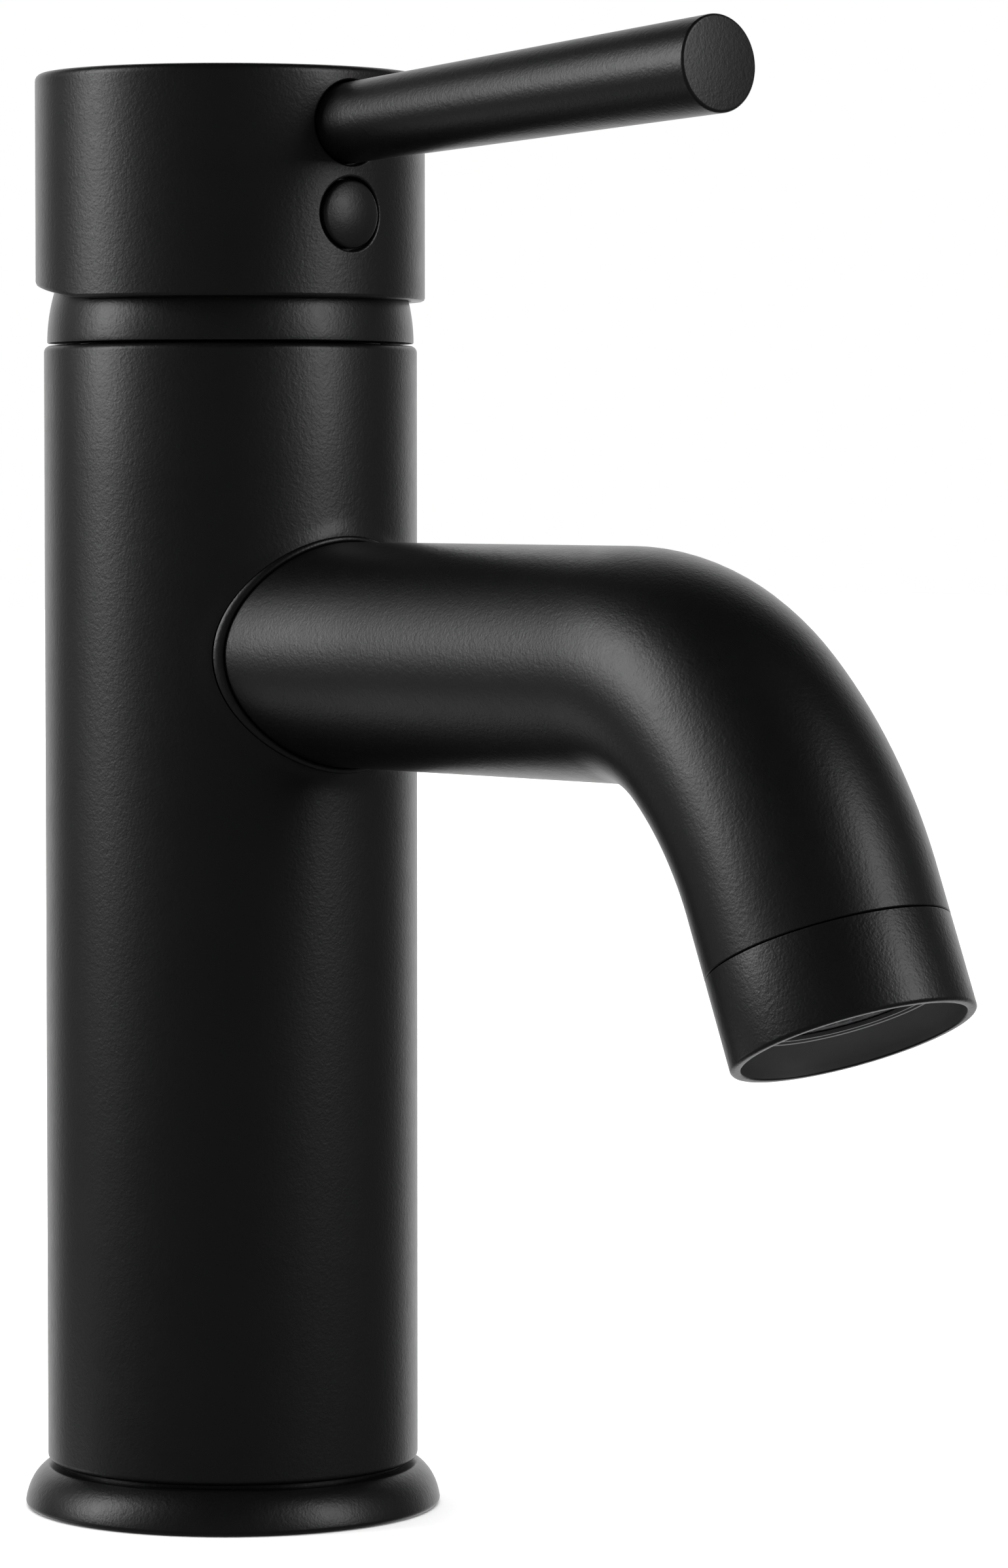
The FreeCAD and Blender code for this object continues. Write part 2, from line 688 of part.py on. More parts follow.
def cartridge_base():
    """Ported bottom of the cartridge, with pegs into the seat and posts that hold the fixed disc."""
    solid = [rod(HOUSING_LOWER_BORE_R - RUN, BASE_BOTTOM, BASE_TOP)]
    for side in (-1, 1):
        peg_at = V(0, side * PEG_Y, 0)
        post_at = V(0, side * POST_Y, 0)
        solid.append(rod(PEG_R, SEAT_TOP - PEG_LENGTH + FIT, BASE_BOTTOM + OVERLAP, peg_at))
        solid.append(rod(POST_R, BASE_TOP - OVERLAP, BASE_TOP + POST_LENGTH, post_at))
    middle = (BASE_BOTTOM + BASE_TOP) / 2
    holes = []
    for lower, upper, lower_r, upper_r in (
        (INLETS[0], DISC_INLETS[0], INLET_R, DISC_INLET_R),
        (INLETS[1], DISC_INLETS[1], INLET_R, DISC_INLET_R),
        (OUTLET, DISC_OUTLET, OUTLET_R, DISC_OUTLET_R),
    ):
        holes.append(rod(lower_r, BASE_BOTTOM - SPARE, middle + RUN, lower))
        holes.append(rod(upper_r, middle - RUN, BASE_TOP + SPARE, upper))
    for place in port_seal_places():
        depth = 2 * PORT_SEAL_SECTION - SEAT_GAP + FIT
        holes.append(seal_groove(place, PORT_SEAL_MIDDLE_R, PORT_SEAL_SECTION, BASE_BOTTOM, depth))
    for place, ring_r in disc_seal_places():
        depth = 2 * DISC_SEAL_SECTION - SEAT_GAP + FIT
        holes.append(seal_groove(place, ring_r, DISC_SEAL_SECTION, BASE_TOP, -depth))
    return joined(solid).cut(holes)


def port_seals():
    """Three rings between the cartridge and its seat."""
    height = SEAT_TOP + PORT_SEAL_SECTION + FIT / 2
    return group([o_ring(PORT_SEAL_MIDDLE_R, PORT_SEAL_SECTION, height, p) for p in port_seal_places()])


def disc_seals():
    """Three rings between the base and the fixed disc."""
    height = FIXED_DISC_BOTTOM - DISC_SEAL_SECTION - FIT / 2
    return group([o_ring(ring_r, DISC_SEAL_SECTION, height, place) for place, ring_r in disc_seal_places()])


def fixed_disc():
    """Lower ceramic disc, with one port for each supply and one for the mixed water."""
    solid = rod(FIXED_DISC_R, FIXED_DISC_BOTTOM, FIXED_DISC_TOP)
    low, high = FIXED_DISC_BOTTOM - SPARE, FIXED_DISC_TOP + SPARE
    holes = [rod(DISC_INLET_R, low, high, place) for place in DISC_INLETS]
    holes.append(rod(DISC_OUTLET_R, low, high, DISC_OUTLET))
    for side in (-1, 1):
        holes.append(rod(POST_R + RUN, low, high, V(0, side * POST_Y, 0)))
    return solid.cut(holes)


def moving_disc():
    """Upper ceramic disc. Its pocket joins the supplies to the outlet when the handle is lifted."""
    centre = V(DISC_REST_X, 0, 0)
    solid = rod(MOVING_DISC_R, MOVING_DISC_BOTTOM, MOVING_DISC_TOP, centre)
    low, high = MOVING_DISC_BOTTOM - SPARE, MOVING_DISC_BOTTOM + POCKET_DEPTH
    back = rod(POCKET_R, low, high, V(POCKET_FRONT - POCKET_R - OVERLAP, 0, 0))
    front = box((POCKET_FRONT - POCKET_R, -POCKET_HALF_WIDTH, low), (POCKET_FRONT, POCKET_HALF_WIDTH, high))
    holes = [joined([back, front])]
    for side in (-1, 1):
        place = V(DISC_REST_X, side * LUG_Y, 0)
        holes.append(rod(LUG_R + FIT, MOVING_DISC_TOP - LUG_LENGTH - 2 * FIT, MOVING_DISC_TOP + SPARE, place))
    return solid.cut(holes)


def disc_driver():
    """Plastic carrier that the stem's ball pushes, keyed to the moving disc."""
    centre = V(DISC_REST_X, 0, 0)
    solids = [
        rod(DRIVER_PLATE_R, DRIVER_BOTTOM, DRIVER_PLATE_TOP, centre),
        box(
            (-DRIVER_HALF_LENGTH, -DRIVER_HALF_WIDTH, DRIVER_BOTTOM),
            (DRIVER_HALF_LENGTH, DRIVER_HALF_WIDTH, DRIVER_TOP),
        ),
    ]
    for side in (-1, 1):
        place = V(DISC_REST_X, side * LUG_Y, 0)
        solids.append(rod(LUG_R, MOVING_DISC_TOP - LUG_LENGTH, DRIVER_PLATE_TOP, place))
    socket_r = BALL_R + BALL_GAP
    mouth = Part.makeCone(socket_r, socket_r + 2 * BALL_GAP, 2 * BALL_GAP, UP * (DRIVER_TOP - 2 * BALL_GAP))
    socket = rod(socket_r, DRIVER_BOTTOM + DRIVER_FLOOR, DRIVER_TOP + SPARE)
    return joined(solids).cut([socket, mouth])


def rotor():
    """Turning piece in the housing's neck. It guides the driver and carries the stem's pin."""
    solid = joined(
        [
            rod(HOUSING_CAVITY_R - RUN, ROTOR_BOTTOM, ROTOR_FLANGE_TOP),
            rod(ROTOR_NECK_R, ROTOR_BOTTOM, ROTOR_TOP),
        ]
    )
    slot_top = DRIVER_TOP + 3 * RUN
    back = DRIVER_HALF_LENGTH + 3 * RUN
    front = DRIVER_HALF_LENGTH + SLIDE_TRAVEL + 3 * RUN
    side = DRIVER_HALF_WIDTH + RUN
    driver_slot = box((-back, -side, ROTOR_BOTTOM - SPARE), (front, side, slot_top))
    # The stem's back corner swings out furthest at the rotor's top.
    lift = math.radians(TILT)
    rise = ROTOR_TOP - PIVOT_Z
    sweep = STEM_HALF_WIDTH / math.cos(lift) + rise * math.tan(lift)
    stem_side = STEM_HALF_WIDTH + RUN
    stem_slot = box(
        (-sweep - 5 * RUN, -stem_side, slot_top - OVERLAP),
        (STEM_HALF_WIDTH + 5 * RUN, stem_side, ROTOR_TOP + SPARE),
    )
    return solid.cut([driver_slot, stem_slot, pin_shape(PIN_R + FIT / 2, 2 * ROTOR_NECK_R)])


def pin_shape(radius, length):
    return Part.makeCylinder(radius, length, V(0, -length / 2, PIVOT_Z), SIDEWAYS)


def stem_pin():
    """Steel pin that the stem tilts on."""
    return pin_shape(PIN_R, 2 * PIN_HALF_LENGTH)


def stem():
    """Operating stem: square shank above, round hub on the pin, ball below."""
    shank = box(
        (-STEM_HALF_WIDTH, -STEM_HALF_WIDTH, PIVOT_Z),
        (STEM_HALF_WIDTH, STEM_HALF_WIDTH, STEM_TOP),
    )
    hub = Part.makeCylinder(STEM_HUB_R, 2 * STEM_HALF_WIDTH, V(0, -STEM_HALF_WIDTH, PIVOT_Z), SIDEWAYS)
    ball = Part.makeSphere(BALL_R, UP * BALL_Z)
    solid = joined([shank, hub, rod(STEM_NECK_R, BALL_Z, PIVOT_Z), ball])
    return solid.cut(pin_shape(PIN_R + FIT, 4 * STEM_HALF_WIDTH))


def limit_ring():
    """Ring keyed to the rotor's top, with the lug that meets the housing's wall at each end of the turn."""
    bottom = HOUSING_TOP + 2 * RUN
    top = bottom + STOP_RING_THICKNESS
    solid = ring(STOP_RING_R, ROTOR_NECK_R + FIT, bottom, top)
    lug = rectangle(STOP_RING_R - OVERLAP, STOP_LUG_R, bottom, top)
    lug = lug.revolve(ORIGIN, UP, 2 * STOP_LUG_HALF_ANGLE)
    lug.rotate(ORIGIN, UP, -STOP_LUG_HALF_ANGLE)
    return joined([solid, lug])


# ------------------------------------------------------ nut and dome


def retaining_nut():
    """Threaded brass ring that presses the cartridge down on its seat."""
    outer = joined(
        [
            rod(THREAD_BORE_R - FIT, HOUSING_SHOULDER + FIT, BODY_TOP),
            rod(NUT_HEAD_R, BODY_TOP - OVERLAP, NUT_TOP),
        ]
    )
    ring_room = ring(
        NUT_HEAD_R + SPARE,
        NUT_RING_MIDDLE_R - NUT_RING_SECTION - FIT,
        NUT_RING_Z - NUT_RING_SECTION - FIT,
        NUT_RING_Z + NUT_RING_SECTION + FIT,
    )
    slots = []
    for turn in (45, 135):
        slot = box(
            (-NUT_HEAD_R - SPARE, -NUT_SLOT_WIDTH / 2, NUT_TOP - NUT_SLOT_DEPTH),
            (NUT_HEAD_R + SPARE, NUT_SLOT_WIDTH / 2, NUT_TOP + SPARE),
        )
        slot.rotate(ORIGIN, UP, turn)
        slots.append(slot)
    bore = rod(HOUSING_NECK_R + RUN, HOUSING_SHOULDER - SPARE, NUT_TOP + SPARE)
    return outer.cut([bore, ring_room] + slots)


def nut_o_ring():
    """Ring that the dome is pushed over."""
    return o_ring(NUT_RING_MIDDLE_R, NUT_RING_SECTION, NUT_RING_Z)


def dome_ring():
    """Trim ring. Its outside is part of a ball centred on the stem's pin, so the tilting cap clears it."""
    ball = Part.makeSphere(DOME_R, UP * PIVOT_Z)
    zone = ball.common(rod(DOME_R + SPARE, PIVOT_Z, DOME_TOP))
    bore = rod(NUT_HEAD_R + RUN, BODY_TOP - SPARE, NUT_TOP + RUN)
    return zone.cut([bore, rod(DOME_LIP_R, BODY_TOP, DOME_TOP + SPARE)])


# ------------------------------------------------------ handle


def along_lever(shape):
    """Put a piece made upright about +Z on the lever's axis."""
    placed = shape.copy()
    placed.Placement = FreeCAD.Placement(UP * LEVER_Z, FreeCAD.Rotation(UP, heading(-LEVER_RISE)))
    return placed


def lever_radius(distance):
    """Radius of the tapered rod at a distance from the column's axis."""
    share = (distance - LEVER_SHOULDER) / (LEVER_END - LEVER_SHOULDER)
    return LEVER_ROOT_R + (LEVER_END_R - LEVER_ROOT_R) * share


def lever_socket():
    """Room in the cap for the rod's root and its threaded spigot."""
    spigot_start = LEVER_SHOULDER - LEVER_SPIGOT_LENGTH
    return [
        along_lever(rod(LEVER_SPIGOT_R + FIT, spigot_start - FIT, LEVER_SHOULDER + OVERLAP)),
        along_lever(rod(LEVER_ROOT_R + LEVER_SOCKET_GAP, LEVER_SHOULDER, CAP_R + SPARE)),
    ]


def lever_rod():
    """Round rod that widens towards its end, screwed into the cap."""
    start = LEVER_SHOULDER + FIT
    solid = turned(
        (0, start),
        (lever_radius(start), start),
        (lever_radius(LEVER_END - LEVER_END_EDGE), LEVER_END - LEVER_END_EDGE),
        (LEVER_END_R - LEVER_END_EDGE, LEVER_END),
        (0, LEVER_END),
    )
    spigot = rod(LEVER_SPIGOT_R, LEVER_SHOULDER - LEVER_SPIGOT_LENGTH, start + OVERLAP)
    return along_lever(joined([solid, spigot]))


def relief():
    """Wedge taken off the back of the cap's rim."""
    reach = 2 * CAP_R
    rise = reach * math.tan(math.radians(CAP_RELIEF))
    corners = [
        V(0, -reach, CAP_BOTTOM),
        V(-reach, -reach, CAP_BOTTOM + rise),
        V(-reach, -reach, CAP_BOTTOM - SPARE),
        V(0, -reach, CAP_BOTTOM - SPARE),
        V(0, -reach, CAP_BOTTOM),
    ]
    return Part.Face(Part.makePolygon(corners)).extrude(SIDEWAYS * 2 * reach)


def handle_cap():
    """Handle: a cap open below, with a square socket for the stem and a web that takes lever and screw."""
    outer = soften(rod(CAP_R, CAP_BOTTOM, CAP_TOP), CAP_EDGE, (CAP_R, CAP_TOP))
    outer = soften(outer, CAP_RIM_EDGE, (CAP_R, CAP_BOTTOM))
    shell = outer.cut(rod(CAP_INNER_R, CAP_BOTTOM - SPARE, CAP_CEILING))
    boss = rod(BOSS_R, BOSS_BOTTOM, CAP_CEILING + OVERLAP)
    web = box((0, -WEB_HALF_WIDTH, BOSS_BOTTOM), (CAP_R, WEB_HALF_WIDTH, CAP_CEILING + OVERLAP))
    web = web.common(rod(CAP_INNER_R + CAP_WALL / 2, BOSS_BOTTOM, CAP_TOP))
    stem_socket = box(
        (-STEM_SOCKET_HALF, -STEM_SOCKET_HALF, BOSS_BOTTOM - SPARE),
        (STEM_SOCKET_HALF, STEM_SOCKET_HALF, STEM_TOP + FIT),
    )
    screw_way = rod_along(FORWARD, SCREW_R + FIT, UP * SCREW_Z, CAP_R)
    button_hole = rod_along(FORWARD, BUTTON_HOLE_R, V(BUTTON_FLOOR, 0, SCREW_Z), CAP_R)
    return joined([shell, boss, web]).cut([stem_socket, screw_way, button_hole, relief()] + lever_socket())


def facing_forward(shape, start):
    """Put a piece made upright about +Z on the set screw's axis, starting at a distance along +X."""
    placed = shape.copy()
    placed.Placement = FreeCAD.Placement(V(start, 0, SCREW_Z), FreeCAD.Rotation(UP, FORWARD))
    return placed


def set_screw():
    """Grub screw that clamps the cap on the stem."""
    solid = rod(SCREW_R, 0, SCREW_LENGTH)
    key = hexagon(SCREW_KEY, SCREW_LENGTH - SCREW_KEY_DEPTH).extrude(UP * 2 * SCREW_KEY_DEPTH)
    return facing_forward(solid.cut(key), STEM_HALF_WIDTH + FIT)


def index_button():
    """Domed plug that hides the set screw, with a tail pressed into the screw's way."""
    half, rise = crown_half(BUTTON_R, BUTTON_CROWN)
    head = turned(
        (0, FIT),
        (BUTTON_R, FIT),
        (BUTTON_R, BUTTON_HEIGHT),
        ((half, BUTTON_HEIGHT + rise), (0, BUTTON_HEIGHT + BUTTON_CROWN)),
    )
    tail = rod(SCREW_R, -BUTTON_TAIL_LENGTH, FIT + OVERLAP)
    return facing_forward(joined([head, tail]), BUTTON_FLOOR)


PIECES = {
    "base_flange": base_flange,
    "base_seal": base_seal,
    "flange_o_ring": flange_o_ring,
    "body": body,
    "inlet_block": inlet_block,
    "block_o_ring": block_o_ring,
    "supply_tubes": supply_tubes,
    "cartridge_seat": cartridge_seat,
    "spout": spout,
    "aerator_collar": aerator_collar,
    "aerator_sleeve": aerator_sleeve,
    "aerator_honeycomb": aerator_honeycomb,
    "aerator_diffuser": aerator_diffuser,
    "aerator_screen": aerator_screen,
    "aerator_washer": aerator_washer,
    "cartridge_housing": cartridge_housing,
    "cartridge_base": cartridge_base,
    "port_seals": port_seals,
    "disc_seals": disc_seals,
    "fixed_disc": fixed_disc,
    "moving_disc": moving_disc,
    "disc_driver": disc_driver,
    "rotor": rotor,
    "stem_pin": stem_pin,
    "stem": stem,
    "limit_ring": limit_ring,
    "retaining_nut": retaining_nut,
    "nut_o_ring": nut_o_ring,
    "dome_ring": dome_ring,
    "handle_cap": handle_cap,
    "lever_rod": lever_rod,
    "set_screw": set_screw,
    "index_button": index_button,
}

os.makedirs("parts", exist_ok=True)
for name, make in PIECES.items():
    shape = make()
    shape.exportStep(f"parts/{name}.step")
    print(f"{name}: {len(shape.Solids)} solid(s), {shape.Volume:.0f} mm3, valid {shape.isValid()}")
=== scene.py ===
import math

import bmesh
import bpy
from mathutils import Matrix, Vector


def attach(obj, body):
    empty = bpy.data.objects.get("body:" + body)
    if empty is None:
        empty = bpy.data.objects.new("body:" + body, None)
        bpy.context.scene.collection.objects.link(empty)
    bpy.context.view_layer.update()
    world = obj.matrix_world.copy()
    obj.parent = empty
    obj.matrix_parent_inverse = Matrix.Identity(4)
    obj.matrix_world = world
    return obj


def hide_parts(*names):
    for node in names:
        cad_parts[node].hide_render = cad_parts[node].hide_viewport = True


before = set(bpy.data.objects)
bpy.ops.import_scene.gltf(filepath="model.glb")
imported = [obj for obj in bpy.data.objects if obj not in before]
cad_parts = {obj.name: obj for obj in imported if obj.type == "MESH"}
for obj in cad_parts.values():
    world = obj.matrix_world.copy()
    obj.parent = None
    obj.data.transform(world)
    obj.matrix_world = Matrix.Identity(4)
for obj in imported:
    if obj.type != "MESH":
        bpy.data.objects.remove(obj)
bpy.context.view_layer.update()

MM = 0.001


# ---- Studio ----
# A pale floor to stand the faucet on, lit from straight above by a wide sky of light that leaves no glint.
# A tall softbox stands on each side and a bright backdrop behind, and those are what the coat reflects. A low
# lamp under the edge of the table puts a faint line on the undersides.

CAMERA_AT = Vector((0.5914, -0.4554, 0.1282))
CAMERA_TURN = math.radians(49.81)  # from the view's right-hand side to the line of the spout
CAMERA_DIP = math.radians(2.96)
LENS = 138.24
LAMP_REACH = 1.2  # from the faucet to each lamp, in metres
FLOOR_HALF = 4.0

camera = bpy.data.objects.new("camera", bpy.data.cameras.new("camera"))
camera.data.sensor_width = 36.0
camera.data.lens = LENS
camera.data.clip_start = 0.01
camera.data.clip_end = 20.0
camera.location = CAMERA_AT
looking = Vector(
    (
        -math.sin(CAMERA_TURN) * math.cos(CAMERA_DIP),
        math.cos(CAMERA_TURN) * math.cos(CAMERA_DIP),
        -math.sin(CAMERA_DIP),
    )
)
camera.rotation_mode = "QUATERNION"
camera.rotation_quaternion = looking.to_track_quat("-Z", "Y")
bpy.context.scene.collection.objects.link(camera)
bpy.context.scene.camera = camera
bpy.context.scene.view_settings.view_transform = "Standard"


def softbox(name, round_from_camera, height, width, tall, power):
    """A rectangular lamp that stands round from the camera by some degrees and faces the faucet."""
    turn = math.radians(round_from_camera) + CAMERA_TURN - math.pi / 2
    lamp = bpy.data.lights.new(name, "AREA")
    lamp.shape = "RECTANGLE"
    lamp.size = width
    lamp.size_y = tall
    lamp.energy = power
    box = bpy.data.objects.new(name, lamp)
    box.location = Vector((math.cos(turn) * LAMP_REACH, math.sin(turn) * LAMP_REACH, height))
    aim = Vector((0, 0, height)) - box.location
    box.rotation_euler = aim.to_track_quat("-Z", "Y").to_euler()
    bpy.context.scene.collection.objects.link(box)


softbox("softbox_left", -83, 0.64, 0.40, 0.9, 10.4)
softbox("softbox_right", 61, 0.67, 0.32, 0.95, 6.7)
softbox("reflector_left", -112, -0.55, 0.6, 0.45, 0.7)

sky = bpy.data.objects.new("overhead", bpy.data.lights.new("overhead", "SUN"))
sky.data.energy = 4.4
sky.data.angle = math.radians(100)
sky.visible_glossy = False
bpy.context.scene.collection.objects.link(sky)


def node(tree, kind, settings=(), **inputs):
    """Add a shader node. Settings are its own options, and inputs are values or sockets to link."""
    made = tree.nodes.new(kind)
    for name, value in dict(settings).items():
        setattr(made, name, value)
    for name, value in inputs.items():
        socket = made.inputs[int(name[1:]) if name[0] == "_" else name.replace("_", " ")]
        if isinstance(value, bpy.types.NodeSocket):
            tree.links.new(value, socket)
        else:
            socket.default_value = value
    return made


world = bpy.data.worlds.new("studio")
world.use_nodes = True
tree = world.node_tree
tree.nodes.clear()
direction = node(tree, "ShaderNodeTexCoord").outputs["Generated"]
behind = Vector((looking.x, looking.y, 0)).normalized()
facing = node(tree, "ShaderNodeVectorMath", {"operation": "DOT_PRODUCT"}, _0=direction, _1=behind)
backdrop = node(
    tree,
    "ShaderNodeMapRange",
    {"interpolation_type": "SMOOTHSTEP"},
    Value=facing.outputs["Value"],
    From_Min=0.65,
    From_Max=0.86,
    To_Min=0.0,
    To_Max=1.5,
)
height = node(tree, "ShaderNodeSeparateXYZ", Vector=direction).outputs["Z"]
walls = node(
    tree,
    "ShaderNodeMapRange",
    Value=height,
    From_Min=0.15,
    From_Max=0.65,
    To_Min=0.12,
    To_Max=0.0,
)
around = node(
    tree,
    "ShaderNodeMath",
    {"operation": "ADD"},
    _0=backdrop.outputs["Result"],
    _1=walls.outputs["Result"],
)
room = node(tree, "ShaderNodeBackground", Strength=around.outputs[0])
white = node(tree, "ShaderNodeBackground", Strength=1.0)
for light in (room, white):
    light.inputs["Color"].default_value = (1, 1, 1, 1)
seen = node(tree, "ShaderNodeLightPath").outputs["Is Camera Ray"]
mixed = node(tree, "ShaderNodeMixShader", _0=seen, _1=room.outputs[0], _2=white.outputs[0])
node(tree, "ShaderNodeOutputWorld", Surface=mixed.outputs[0])
bpy.context.scene.world = world


def material(name):
    """A new node material: its tree, and the shader that its finish is set on."""
    made = bpy.data.materials.new(name)
    made.use_nodes = True
    return made, made.node_tree, made.node_tree.nodes["Principled BSDF"]


def colour_of(tree, low, high, share):
    """Colour between two, by a share."""
    ramp = node(tree, "ShaderNodeMix", {"data_type": "RGBA"}, Factor=share)
    ramp.inputs["A"].default_value = (*low, 1)
    ramp.inputs["B"].default_value = (*high, 1)
    return ramp.outputs["Result"]


def noise(tree, size, detail=2.0, stretch=(1, 1, 1)):
    """Cloudy pattern with features about this many millimetres across, fixed to the piece."""
    where = node(tree, "ShaderNodeTexCoord").outputs["Object"]
    scaled = node(tree, "ShaderNodeMapping", Vector=where, Scale=stretch)
    cloud = node(tree, "ShaderNodeTexNoise", Vector=scaled.outputs[0], Scale=1 / (size * MM), Detail=detail)
    return cloud.outputs["Fac"]


def bump(tree, shader, height, depth, under=None):
    """Raise the surface by a pattern, this many millimetres from its lowest to its highest."""
    raised = node(tree, "ShaderNodeBump", Height=height, Distance=depth * MM)
    if under:
        tree.links.new(under.outputs[0], raised.inputs["Normal"])
    tree.links.new(raised.outputs[0], shader.inputs["Normal"])
    return raised


def spread(tree, value, low, high):
    """Bring a pattern's 0 to 1 between two values."""
    return node(tree, "ShaderNodeMapRange", Value=value, To_Min=low, To_Max=high).outputs["Result"]


pale, tree, shader = material("pale_floor")
shader.inputs["Roughness"].default_value = 0.9
shader.inputs["Specular IOR Level"].default_value = 0.0
floor_tint = colour_of(tree, (0.9, 0.9, 0.9), (0.92, 0.92, 0.92), noise(tree, 300))
tree.links.new(floor_tint, shader.inputs["Base Color"])

table = bmesh.new()
bmesh.ops.create_grid(table, x_segments=1, y_segments=1, size=FLOOR_HALF)
floor_mesh = bpy.data.meshes.new("floor")
table.to_mesh(floor_mesh)
table.free()
floor = bpy.data.objects.new("floor", floor_mesh)
floor_mesh.materials.append(pale)
bpy.context.scene.collection.objects.link(floor)
floor.visible_glossy = False
floor.visible_shadow = False


# ---- Column ----
# The round brass body, bored through for the water way and opened at the side for the spout.
# It is sprayed in satin black, which dries with a fine orange-peel skin, and its edges are broken by hand.

BODY_R = 23.0
BORE_R = 19.5
SPOUT_Z = 106.2
SPOUT_HOLE_R = 13.58
SPOUT_HOLE_OVAL = 1.1  # how much wider than high the hole is, for a narrow shadow at the spout's sides
COLUMN_TOP = 143.8
NUT_THREAD_R = 19.0
NUT_THREAD_END = 135.2
CARTRIDGE_R = 17.5
SEAT_TOP = 122.54
WALL_LOW = 84.0  # the part of the wall with the hole in it reaches from here
WALL_HIGH = 128.0  # to here
BEAD_R = 0.4  # half-round bead left standing round the hole
BEAD_STEPS = 8
HOLE_SWELL = 0.2  # how far the wall is pushed out at the hole's rim
SWELL_REACH = 1.5
SPIGOT_R = 21.6
SPIGOT_TOP = 5.7
SPIGOT_BOTTOM = 1.65
GROOVE_R = 20.17  # bottom of the groove for the rubber ring
GROOVE_TOP = 4.15
GROOVE_BOTTOM = 2.65
EDGE_BREAK = 0.8  # how far the column's long edges are rounded
ROUND_STEPS = 120
HOLE_STEPS = 300  # faces round a hole
WALL_ROWS = 72  # rows of faces from a hole out to the edge of its wall
ROW_CROWDING = 1.5  # above 1, the rows are closer together near the hole


def black_coat(name, grain=1.0):
    """Satin black spray coat with its orange peel."""
    coat, tree, shader = material(name)
    tint = colour_of(tree, (0.0010, 0.0010, 0.0011), (0.0017, 0.0017, 0.0018), noise(tree, 9.0))
    tree.links.new(tint, shader.inputs["Base Color"])
    shine = spread(tree, noise(tree, 2.2), 0.37, 0.43)
    tree.links.new(shine, shader.inputs["Roughness"])
    shader.inputs["Specular IOR Level"].default_value = 0.5
    peel = bump(tree, shader, noise(tree, 0.6, 1.5), 0.023 * grain)
    bump(tree, shader, noise(tree, 0.28, 1.0), 0.019 * grain, peel)
    return coat


def turned(corners, closed=True, steps=ROUND_STEPS):
    """Turn an outline of (radius, height) corners about the Z axis. A third number rounds a corner."""
    bm = bmesh.new()
    verts = [bm.verts.new((-corner[0] * MM, 0, corner[1] * MM)) for corner in corners]
    for one, other in zip(verts, verts[1:] + verts[:1] if closed else verts[1:]):
        bm.edges.new((one, other))
    for vert, corner in zip(verts, corners):
        if len(corner) > 2:
            bmesh.ops.bevel(
                bm,
                geom=[vert],
                offset=corner[2] * MM,
                segments=5,
                profile=0.5,
                affect="VERTICES",
                material=-1,
            )
    bmesh.ops.spin(
        bm,
        geom=bm.verts[:] + bm.edges[:],
        axis=(0, 0, 1),
        cent=(0, 0, 0),
        angle=math.tau,
        steps=steps,
        use_merge=True,
    )
    return bm


def bent_sheet(bm, across, along, place):
    """Bend a flat grid into shape. place gives a point in millimetres for shares of the two sides."""
    made = bmesh.ops.create_grid(bm, x_segments=across, y_segments=along, size=0.5)
    for vert in made["verts"]:
        vert.co = Vector(place(vert.co.x + 0.5, vert.co.y + 0.5)) * MM


def square_edge(share):
    """Point on the edge of a square from -1 to 1, going round it once.

    Its top and bottom take most of the way, because on a tube they are the long sides."""
    if share < 0.4:
        return share / 0.2 - 1, -1
    if share < 0.5:
        return 1, (share - 0.4) / 0.05 - 1
    if share < 0.9:
        return 1 - (share - 0.5) / 0.2, 1
    return -1, 1 - (share - 0.9) / 0.05


def wall_round_hole(bm, wall_r, hole_r, hole_z, low, high, oval=1.0, swell=0.0):
    """A tube's whole wall between two heights, with a round or oval hole in it that faces forward.

    hole_z and low may change round the wall, so they are functions of x."""

    def place(share, outward):
        side, up = square_edge(share)
        aim = math.atan2(up, side)
        hole_y = hole_r * oval * math.cos(aim)
        hole_x = math.sqrt(wall_r**2 - hole_y**2)
        hole_turn = math.asin(hole_y / wall_r)
        hole_height = hole_z(hole_x) + hole_r * math.sin(aim)
        edge_turn = side * math.pi
        edge_low = low(wall_r * math.cos(edge_turn))
        edge_height = edge_low + (high - edge_low) * (up + 1) / 2
        out = outward**ROW_CROWDING
        turn = hole_turn + (edge_turn - hole_turn) * out
        height = hole_height + (edge_height - hole_height) * out
        away = math.hypot((turn - hole_turn) * wall_r, height - hole_height) / SWELL_REACH
        out_r = wall_r + swell * math.exp(-(away**2))
        return out_r * math.cos(turn), out_r * math.sin(turn), height

    bent_sheet(bm, HOLE_STEPS, WALL_ROWS, place)


def hole_side(bm, stages, hole_z, flat_from=None, oval=1.0):
    """Side of a forward-facing hole through (hole radius, wall radius) stages.

    From flat_from inwards the stages are flat instead of following the wall."""

    def place(share, inward):
        side, up = square_edge(share)
        aim = math.atan2(up, side)
        stage = inward * (len(stages) - 1)
        hole_r, wall_r = stages[round(stage)]
        y = hole_r * oval * math.cos(aim)
        x = wall_r if flat_from is not None and wall_r <= flat_from else math.sqrt(wall_r**2 - y**2)
        return x, y, hole_z(x) + hole_r * math.sin(aim)

    bent_sheet(bm, HOLE_STEPS, len(stages) - 1, place)


def lip(hole_r, wall_r, size, steps=4):
    """Stages that round a hole's rim over."""
    stages = []
    for step in range(steps + 1):
        turn = math.radians(90 * step / steps)
        stages.append((hole_r + size * (1 - math.sin(turn)), wall_r - size * (1 - math.cos(turn))))
    return stages


